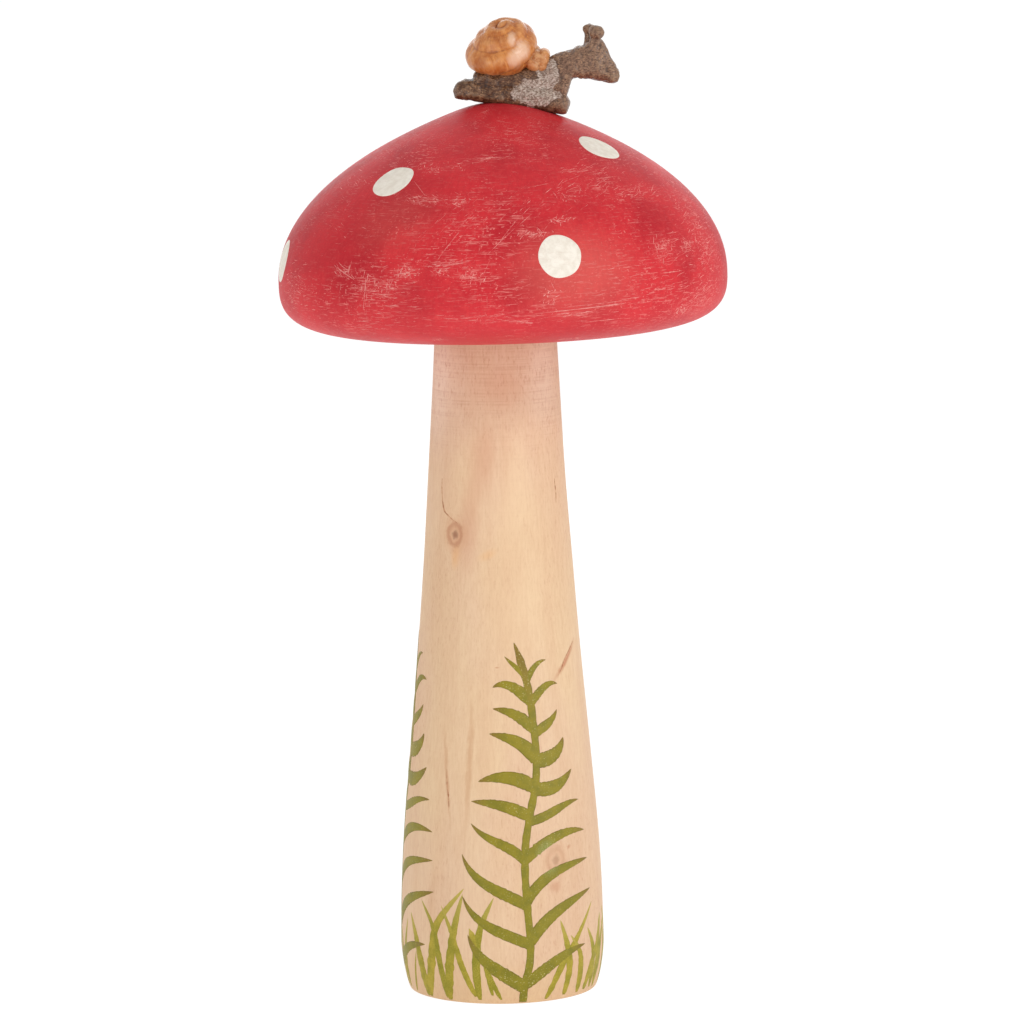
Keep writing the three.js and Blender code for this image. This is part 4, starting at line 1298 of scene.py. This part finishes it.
def bodySkins():
    s = snailShape
    floor = s["headFloor"] / s["headTop"]
    foot = bodySkin(-s["tailReach"], s["bodyLength"] - s["tailReach"], s["footHeight"], s["footHalfWidth"], [
        (0.0, 0.22, 0.36, 0.3, 0.0), (0.012, 0.1, 0.54, 0.52, 0.0), (0.048, 0.02, 0.72, 0.7, 0.05),
        (0.15, 0.0, 0.86, 0.84, 0.1), (0.32, 0.0, 0.94, 0.95, 0.1), (0.56, 0.0, 1.0, 1.0, 0.1),
        (0.8, 0.0, 1.08, 1.0, 0.12), (0.92, 0.0, 0.98, 0.98, 0.1), (0.975, 0.02, 0.72, 0.88, 0.05),
        (0.994, 0.08, 0.56, 0.74, 0.0), (1.0, 0.16, 0.46, 0.6, 0.0)])
    saddle = bodySkin(-0.68 * s["tailReach"], s["neckRoot"] + 3.5, s["saddleTop"], s["saddleHalfWidth"], [
        (0.0, 0.3, 0.7, 0.75, 0.1), (0.06, 0.3, 0.8, 0.95, 0.1), (0.45, 0.3, 1.0, 1.0, 0.1),
        (0.7, 0.3, 1.18, 1.0, 0.1), (0.9, 0.3, 1.18, 1.0, 0.1), (1.0, 0.35, 1.05, 0.9, 0.1)])
    head = bodySkin(s["neckRoot"], s["headReach"], s["headTop"], s["headHalfWidth"], [
        (0.0, 0.12, 0.58, 0.8, 0.1), (0.15, 0.1, 0.725, 0.96, 0.12), (0.31, 0.14, 0.8, 1.0, 0.14),
        (0.4, 0.25, 0.845, 0.95, 0.15), (0.425, 0.42, 0.86, 0.92, 0.16),
        (0.47, 0.97 * floor, 0.88, 0.9, 0.16), (0.56, floor, 0.94, 0.94, 0.2),
        (0.65, floor, 0.985, 1.0, 0.24), (0.735, floor, 1.0, 1.0, 0.26),
        (0.82, floor, 0.865, 0.96, 0.22), (0.96, 1.01 * floor, 0.685, 0.78, 0.1),
        (0.99, 1.06 * floor, 0.65, 0.62, 0.05), (1.0, 1.12 * floor, 0.62, 0.45, 0.0)])
    headAcross = s["headReach"] - s["neckRoot"]
    return [foot, saddle, head, *eyeSkins(s["neckRoot"] + 0.64 * headAcross, -1, 1.1, 1.7),
            *eyeSkins(s["neckRoot"] + 0.55 * headAcross, 1, 0.9, 1.4)]


# One skin round several closed ones: a voxel remesh drops what lies inside, a smooth evens the steps, and a
# cutter takes its share away. It works in millimetres, because the voxels are fine.
def oneSkin(name, skins, shape, cutter=None):
    offset, points, faces = 0, [], []
    for partPoints, partFaces in skins:
        points.append(partPoints)
        faces.extend([[corner + offset for corner in face] for face in partFaces])
        offset += len(partPoints)
    rough = newMesh(name + "Rough", np.vstack(points), faces)
    worker = addObject(name + "Worker", rough)
    remesh = worker.modifiers.new("remesh", "REMESH")
    remesh.mode = "VOXEL"
    remesh.voxel_size = shape["voxel"]
    smooth = worker.modifiers.new("smooth", "SMOOTH")
    smooth.factor = 0.5
    smooth.iterations = shape["smoothing"]
    if cutter is not None:
        cut = worker.modifiers.new("cut", "BOOLEAN")
        cut.operation = "DIFFERENCE"
        cut.solver = "EXACT"
        cut.object = cutter
    shown = worker.evaluated_get(bpy.context.evaluated_depsgraph_get())
    mesh = bpy.data.meshes.new_from_object(shown)
    mesh.name = name
    bpy.data.objects.remove(worker)
    bpy.data.meshes.remove(rough)
    return mesh


def meshArrays(mesh):
    points = np.zeros(len(mesh.vertices) * 3)
    mesh.vertices.foreach_get("co", points)
    normals = np.zeros(len(mesh.vertices) * 3, np.float32)
    mesh.vertex_normals.foreach_get("vector", normals)
    edges = np.zeros(len(mesh.edges) * 2, np.int32)
    mesh.edges.foreach_get("vertices", edges)
    return points.reshape(-1, 3), normals.reshape(-1, 3).astype(float), edges.reshape(-1, 2)


# The mean over each point's neighbours.
def neighbourMean(values, edges):
    a, b = edges[:, 0], edges[:, 1]
    count = np.bincount(np.concatenate([a, b]), minlength=len(values))
    total = np.stack([np.bincount(a, values[b, k], len(values)) + np.bincount(b, values[a, k], len(values))
                      for k in range(values.shape[1])], axis=-1)
    return total / np.maximum(count, 1)[:, None]


# How hollow the surface is at each point: its neighbours' mean, measured along the normal and spread over a
# few rings. 0.5 is flat, 1 the deepest crease and 0 the sharpest ridge.
def hollowness(points, normals, edges, spread, scale):
    wide = points
    for _ in range(spread):
        wide = neighbourMean(wide, edges)
    lift = ((wide - points) * normals).sum(axis=1)[:, None]
    for _ in range(2):
        lift = neighbourMean(lift, edges)
    return np.clip(0.5 + lift[:, 0] / scale, 0, 1)


# Finishes a cast piece: the unevenness of the master, then the place on the cap, then the hollows.
def finishCast(name, mesh, shape, seed, keepOff, scale, material, node):
    points, normals, edges = meshArrays(mesh)
    rough = sum(depth * lumpyField(points, size, seed + k) for k, (size, depth) in enumerate(shape["lumps"]))
    points = points + normals * (rough * keepOff)[:, None]
    hollow = hollowness(points, normals, edges, 5, scale)
    mesh.vertices.foreach_set("co", (placed(points, snailPose) * mm).astype(np.float32).ravel())
    addShares(mesh, "hollow", hollow)
    mesh.materials.clear()
    mesh.shade_smooth()
    mesh.update()
    return dressPiece(name, mesh, material, [node])


# How high a point of the snail's frame lies over the cap's crown, the upper half of the cap's profile.
def overCrown(points):
    inCap = placed(points, np.linalg.inv(capPose) @ snailPose)
    crown = capProfile[len(capProfile) // 2:][::-1]
    return inCap[:, 2] - np.interp(np.hypot(inCap[:, 0], inCap[:, 1]), crown[:, 0], crown[:, 1])


# The cap in the snail's frame, a hair larger than it is, to hollow the sole.
def makeCrownCutter():
    toSnail = np.linalg.inv(snailPose) @ capPose
    larger = snailShape["soleGap"]
    rings = placed(turnedRings(capSide(8, 60, 40)[:-1] + larger, 160), toSnail)
    top = capShape["rimDepth"] + capShape["domeHeight"] + larger
    ends = placed(np.array([[0, 0, 0.0], [0, 0, top]]), toSnail)
    return addObject("crownCutter", newMesh("crownCutter", *skinsFromRings(rings[None], ends[:1], ends[1:])))


def buildSnail(bodyMaterial, shellMaterial):
    cutter = makeCrownCutter()
    body = oneSkin("snailBody", bodySkins(), snailShape, cutter)
    bpy.data.meshes.remove(cutter.data)
    shell = oneSkin("snailShell", shellSkins(), shellShape)
    # The sole keeps its fit: the unevenness fades out towards it
    aboveSole = np.clip(overCrown(meshArrays(body)[0]) / 0.8, 0, 1)
    finishCast("snailBody", body, snailShape, 61, aboveSole, 0.16, bodyMaterial, "snail_body")
    finishCast("snailShell", shell, shellShape, 71, 1.0, 0.08, shellMaterial, "snail_shell")
    print("snail:", len(body.polygons), "and", len(shell.polygons), "faces")


bodyPaint = {
    "base": ((80, 50, 31), (103, 69, 44)),
    "front": (0.65, (146, 114, 94)),
    "frontAcross": (10, 17),
    "dark": (0.75, (52, 32, 24)),
    # Pale flecks, partly the paint's own and partly painted glints of the gloss
    "flecksAndGlints": (0.58, (190, 150, 112)),
    # Hollows darker, partly the paint's own colour and partly painted shade; ridges paler, partly rubbed
    # paint and partly painted highlight
    "hollowWashAndShade": (0.7, (46, 30, 24)),
    "ridgeWearAndHighlight": (0.35, (160, 130, 102)),
    # A pale patch on the flank under the neck, a painted reflection of a lamp on the glossy flank, with a
    # dark outline: two ellipsoids, middle and radii
    "palerPatch": ((128, 104, 88), (206, 192, 180)),
    "highlightPlaces": [((9.4, -4.5, 197.2), (5.6, 4.0, 3.4)), ((12.0, -4.0, 201.4), (2.6, 4.0, 3.8))],
    "outline": (0.85, (78, 56, 44)),
}


def makeBodyPaint():
    material, tree, shader, place = newMaterial("brownCastPaint", Specular_IOR_Level=0.25, Coat_Roughness=0.2)
    p = bodyPaint
    cast = useGroup(tree, castGroup, {"Vector": place, "Size": 1.0})
    hatch = addNoise(place, 3.4, 3.0, 0.7, stretch=(0.6, 0.8, 1.1))
    # Pale flecks along the hatch, partly painted glints
    flecksAndGlints = addMath("MULTIPLY", addRange(hatch, 0.52, 0.64),
                     addRange(cast["Blotches"], 0.0, 0.7, 0.4, 1.0))
    base = addTones(p["base"], cast["Blotches"])
    base = addCoats(base, p, {"front": addRange(addAxes(place)["X"], *p["frontAcross"]),
                              "dark": addRange(hatch, 0.5, 0.38), "flecksAndGlints": flecksAndGlints,
                              "hollowWashAndShade": cast["Hollows"], "ridgeWearAndHighlight": cast["Ridges"]})

    # The pale patch is painted reflection, laid over the flank with its dark outline
    low, high = (addAway(place, *ellipsoid)[1] for ellipsoid in p["highlightPlaces"])
    waver = addMath("SUBTRACT", addNoise(place, 0.5, 3.0, 0.6), 0.5)
    near = addMath("ADD", addMath("MINIMUM", low, high), waver)
    cloudy = addNoise(place, 0.7, 2.0, 0.5, shift=(3, 0, 8), between=(0.4, 0.6))
    palerPatch = addMath("MULTIPLY", addRange(near, 1.0, 0.88),
                     addMath("MULTIPLY_ADD", cloudy, 0.3, 0.62))
    base = addMix(palerPatch, base, addTones(p["palerPatch"], addRange(hatch, 0.38, 0.62)))
    fromEdge = addMath("ABSOLUTE", addMath("SUBTRACT", near, 1.0))
    outline = addMath("MULTIPLY", addRange(fromEdge, 0.09, 0.02),
                      addMath("MULTIPLY_ADD", cloudy, 0.7, 0.2))
    base = addCoats(base, p, {"outline": outline})
    fillSockets(tree, shader.inputs, {"Coat Weight": addRange(cast["Blotches"], 0, 1, 0.05, 0.25)})
    relief = addMath("SUBTRACT", addMath("MULTIPLY_ADD", hatch, 1.4, cast["Pebbles"]), outline)
    finishPaint(tree, shader, base, addRange(hatch, 0.35, 0.65, 0.28, 0.48), relief, 0.5, 0.1)
    return material


shellPaint = {
    "base": ((180, 102, 44), (208, 134, 70)),
    "paleGrowth": (0.5, (230, 164, 96)),
    "darkGrowth": (0.55, (150, 78, 34)),
    # Hollows darker, partly the paint's own colour and partly painted shade; ridges paler, partly rubbed
    # paint and partly painted highlight
    "hollowWashAndShade": (0.65, (140, 74, 34)),
    "ridgeWearAndHighlight": (0.25, (230, 178, 128)),
    # Painted highlights, paler on the shoulders of the two outer whorls where they would mirror a lamp:
    # middle and radii
    "palerPatch": (0.78, (232, 190, 160)),
    "highlightPlaces": [((4.9, -6.0, 204.5), (1.9, 6.0, 2.3)), ((6.5, -6.0, 206.3), (2.0, 6.0, 2.7)),
                     ((4.3, -6.0, 208.7), (1.0, 6.0, 1.9))],
    # The lip is paler than the coil
    "lip": ((176, 118, 74), (218, 170, 122)),
    "lipRadii": (2.9, 4.6, 3.1),
}


def makeShellPaint():
    material, tree, shader, place = newMaterial("orangeCastPaint", Specular_IOR_Level=0.12, Coat_Weight=0.4,
                                                Coat_Roughness=0.22)
    p = shellPaint
    cast = useGroup(tree, castGroup, {"Vector": place, "Size": 0.7})

    # Growth lines fan out round the coil's axis
    coil = Matrix(snailPose @ coilPose)
    inputs = {"Vector": place, "Location": coil.to_translation(), "Rotation": coil.to_euler()}
    local = addNode(tree, "ShaderNodeMapping", inputs, vector_type="TEXTURE").outputs[0]
    axes = addAxes(local)
    outward = addLength(addVector("MULTIPLY", local, (1, 1, 0)))
    swept = addMath("MULTIPLY_ADD", outward, 0.09, addMath("ARCTAN2", axes["X"], axes["Y"]))
    fan = addNode(tree, "ShaderNodeCombineXYZ", {0: addMath("MULTIPLY", swept, 7.0),
                                                 1: addMath("MULTIPLY", outward, 0.45)}).outputs[0]
    growth = addNoise(fan, 1.3, 5.0, 0.7)
    base = addTones(p["base"], cast["Blotches"])
    base = addCoats(base, p, {"paleGrowth": addRange(growth, 0.5, 0.68),
                              "darkGrowth": addRange(growth, 0.48, 0.32),
                              "hollowWashAndShade": cast["Hollows"], "ridgeWearAndHighlight": cast["Ridges"]})
    # Painted highlights on the whorls' shoulders
    for middle, radii in p["highlightPlaces"]:
        _, distance = addAway(place, middle, radii)
        ragged = addMath("MULTIPLY_ADD", growth, 1.2, distance)
        base = addCoats(base, p, {"palerPatch": addRange(ragged, 1.7, 1.0)})

    lipMiddle = placed(np.array([shellShape["lip"]]), snailPose)[0]
    _, fromLip = addAway(place, lipMiddle.tolist(), p["lipRadii"])
    streaky = addTones(p["lip"], addNoise(place, 1.3, 3.0, 0.65, between=(0.38, 0.62)))
    base = addMix(addRange(fromLip, 1.1, 0.7, 0.0, 0.75), base, streaky)
    relief = addMath("MULTIPLY_ADD", growth, 1.5, addMath("MULTIPLY", cast["Pebbles"], 0.3))
    finishPaint(tree, shader, base, addRange(growth, 0.35, 0.65, 0.3, 0.42), relief, 0.3, 0.06)
    return material


# The whole ornament

buildStalk(makeStalkWood())
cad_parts["joint_dowel"].data.materials.clear()
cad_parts["joint_dowel"].data.materials.append(makeDowelWood())
print("stalk and dowel made")
buildCap(makeCapPaint())
buildSpots(makeSpotPaint())
buildRubMarks(makeRubMaterial())
print("cap, spots and rub marks made")
buildFerns(makeFernPaint())
buildGrass(makeGrassPaint())
buildHairCracks(makeCrackStain())
print("ferns, grass and hair cracks made")
buildSnail(makeBodyPaint(), makeShellPaint())


# Floor, lights and camera

stage = {
    "floorRadius": 7.0,
    "paperGlow": 1.15,      # the floor's own light, and its share of what the camera and what the object see
    "glowToCamera": 0.8,
    "glowToObject": 0.3,
    "ambient": 0.62,
    # Each softbox: place, size, power in watts
    "softboxes": [
        ((0.85, -0.65, 0.15), 0.8, 4.2), ((-0.8, -0.75, 0.12), 0.8, 3.2), ((0.0, 0.9, 0.4), 0.8, 1.5),
        ((0.62, -0.72, 0.75), 0.15, 1.5)],
    "aim": (0.0, 0.0, 0.10),
}

camera = {
    "aimHeight": 0.10784,   # the point on the object's axis that the pitch and distance are measured to
    "distance": 1.2031,
    "pitch": 7.471,         # degrees, looking down
    "roll": 0.7,            # degrees, the picture's content leans left by this
    "lens": 194.1,
    "panRight": 0.002752,   # from the aim point to the middle of the picture
    "panDown": 0.002142,
}


# 1 for what the camera sees straight, mirrored or through glass, and 0 for the light that falls on things.
def addSeen(tree):
    rays = addNode(tree, "ShaderNodeLightPath").outputs
    indirect = addMath("MAXIMUM", rays["Is Glossy Ray"], rays["Is Transmission Ray"])
    return addMath("MAXIMUM", rays["Is Camera Ray"], indirect)


# The floor is white paper that gives part of its light itself. It keeps the rest of its own shading, so the
# object's shadow stays.
def buildFloor():
    turn = fullTurn(96)
    ring = stage["floorRadius"] * np.stack([np.cos(turn), np.sin(turn), np.zeros_like(turn)], axis=-1)
    floor = addObject("paperFloor", newMesh("paperFloor", ring, [list(range(len(turn)))]))
    paper, tree, shader, _ = newMaterial("whitePaper", Base_Color=(0.9, 0.9, 0.9, 1), Roughness=0.9,
                                         Specular_IOR_Level=0.0)
    white = addNode(tree, "ShaderNodeEmission", {"Color": (1, 1, 1, 1), "Strength": stage["paperGlow"]})
    share = addRange(addSeen(tree), 0, 1, stage["glowToObject"], stage["glowToCamera"])
    blend = addNode(tree, "ShaderNodeMixShader", {0: share, 1: shader.outputs[0], 2: white.outputs[0]})
    fillSockets(tree, tree.nodes["Material Output"].inputs, {"Surface": blend.outputs[0]})
    floor.data.materials.append(paper)


# The backdrop is white to the camera and to reflections, and lights the object from all round.
def buildBackdrop():
    world = bpy.data.worlds.new("studio")
    bpy.context.scene.world = world
    world.use_nodes = True
    tree = world.node_tree
    inputs = {"Value": addSeen(tree), "To Min": stage["ambient"], "To Max": 1.0}
    strength = addNode(tree, "ShaderNodeMapRange", inputs).outputs["Result"]
    fillSockets(tree, tree.nodes["Background"].inputs, {"Color": (1, 1, 1, 1), "Strength": strength})


def buildSoftboxes():
    for number, (place, size, power) in enumerate(stage["softboxes"]):
        lamp = bpy.data.lights.new(f"softbox{number}", "AREA")
        lamp.shape = "DISK"
        lamp.size = size
        lamp.energy = power
        box = addObject(f"softbox{number}", lamp)
        box.location = place
        toAim = Vector(stage["aim"]) - Vector(place)
        box.rotation_euler = toAim.to_track_quat("-Z", "Y").to_euler()


# The camera looks down by the pitch. Its right and up turn against the picture's lean.
def buildCamera():
    s = camera
    pitch, roll = math.radians(s["pitch"]), math.radians(s["roll"])
    level = Vector((1, 0, 0))
    up = Vector((0, math.sin(pitch), math.cos(pitch)))
    aim = Vector((0, 0, s["aimHeight"]))
    place = aim + Vector((0, -math.cos(pitch), math.sin(pitch))) * s["distance"]
    middle = aim + level * s["panRight"] - up * s["panDown"]
    back = (place - middle).normalized()
    right = (level * math.cos(roll) - up * math.sin(roll))
    right = (right - back * right.dot(back)).normalized()
    lens = bpy.data.cameras.new("viewpoint")
    lens.lens = s["lens"]
    lens.sensor_width = 36
    lens.clip_start, lens.clip_end = 0.05, 50
    viewer = addObject("viewpoint", lens)
    turned = Matrix((right, back.cross(right), back)).transposed().to_4x4()
    viewer.matrix_world = Matrix.Translation(place) @ turned
    bpy.context.scene.camera = viewer


buildFloor()
buildBackdrop()
buildSoftboxes()
buildCamera()
bpy.context.scene.view_settings.view_transform = "Standard"

bpy.context.view_layer.update()
print("stage and camera made")
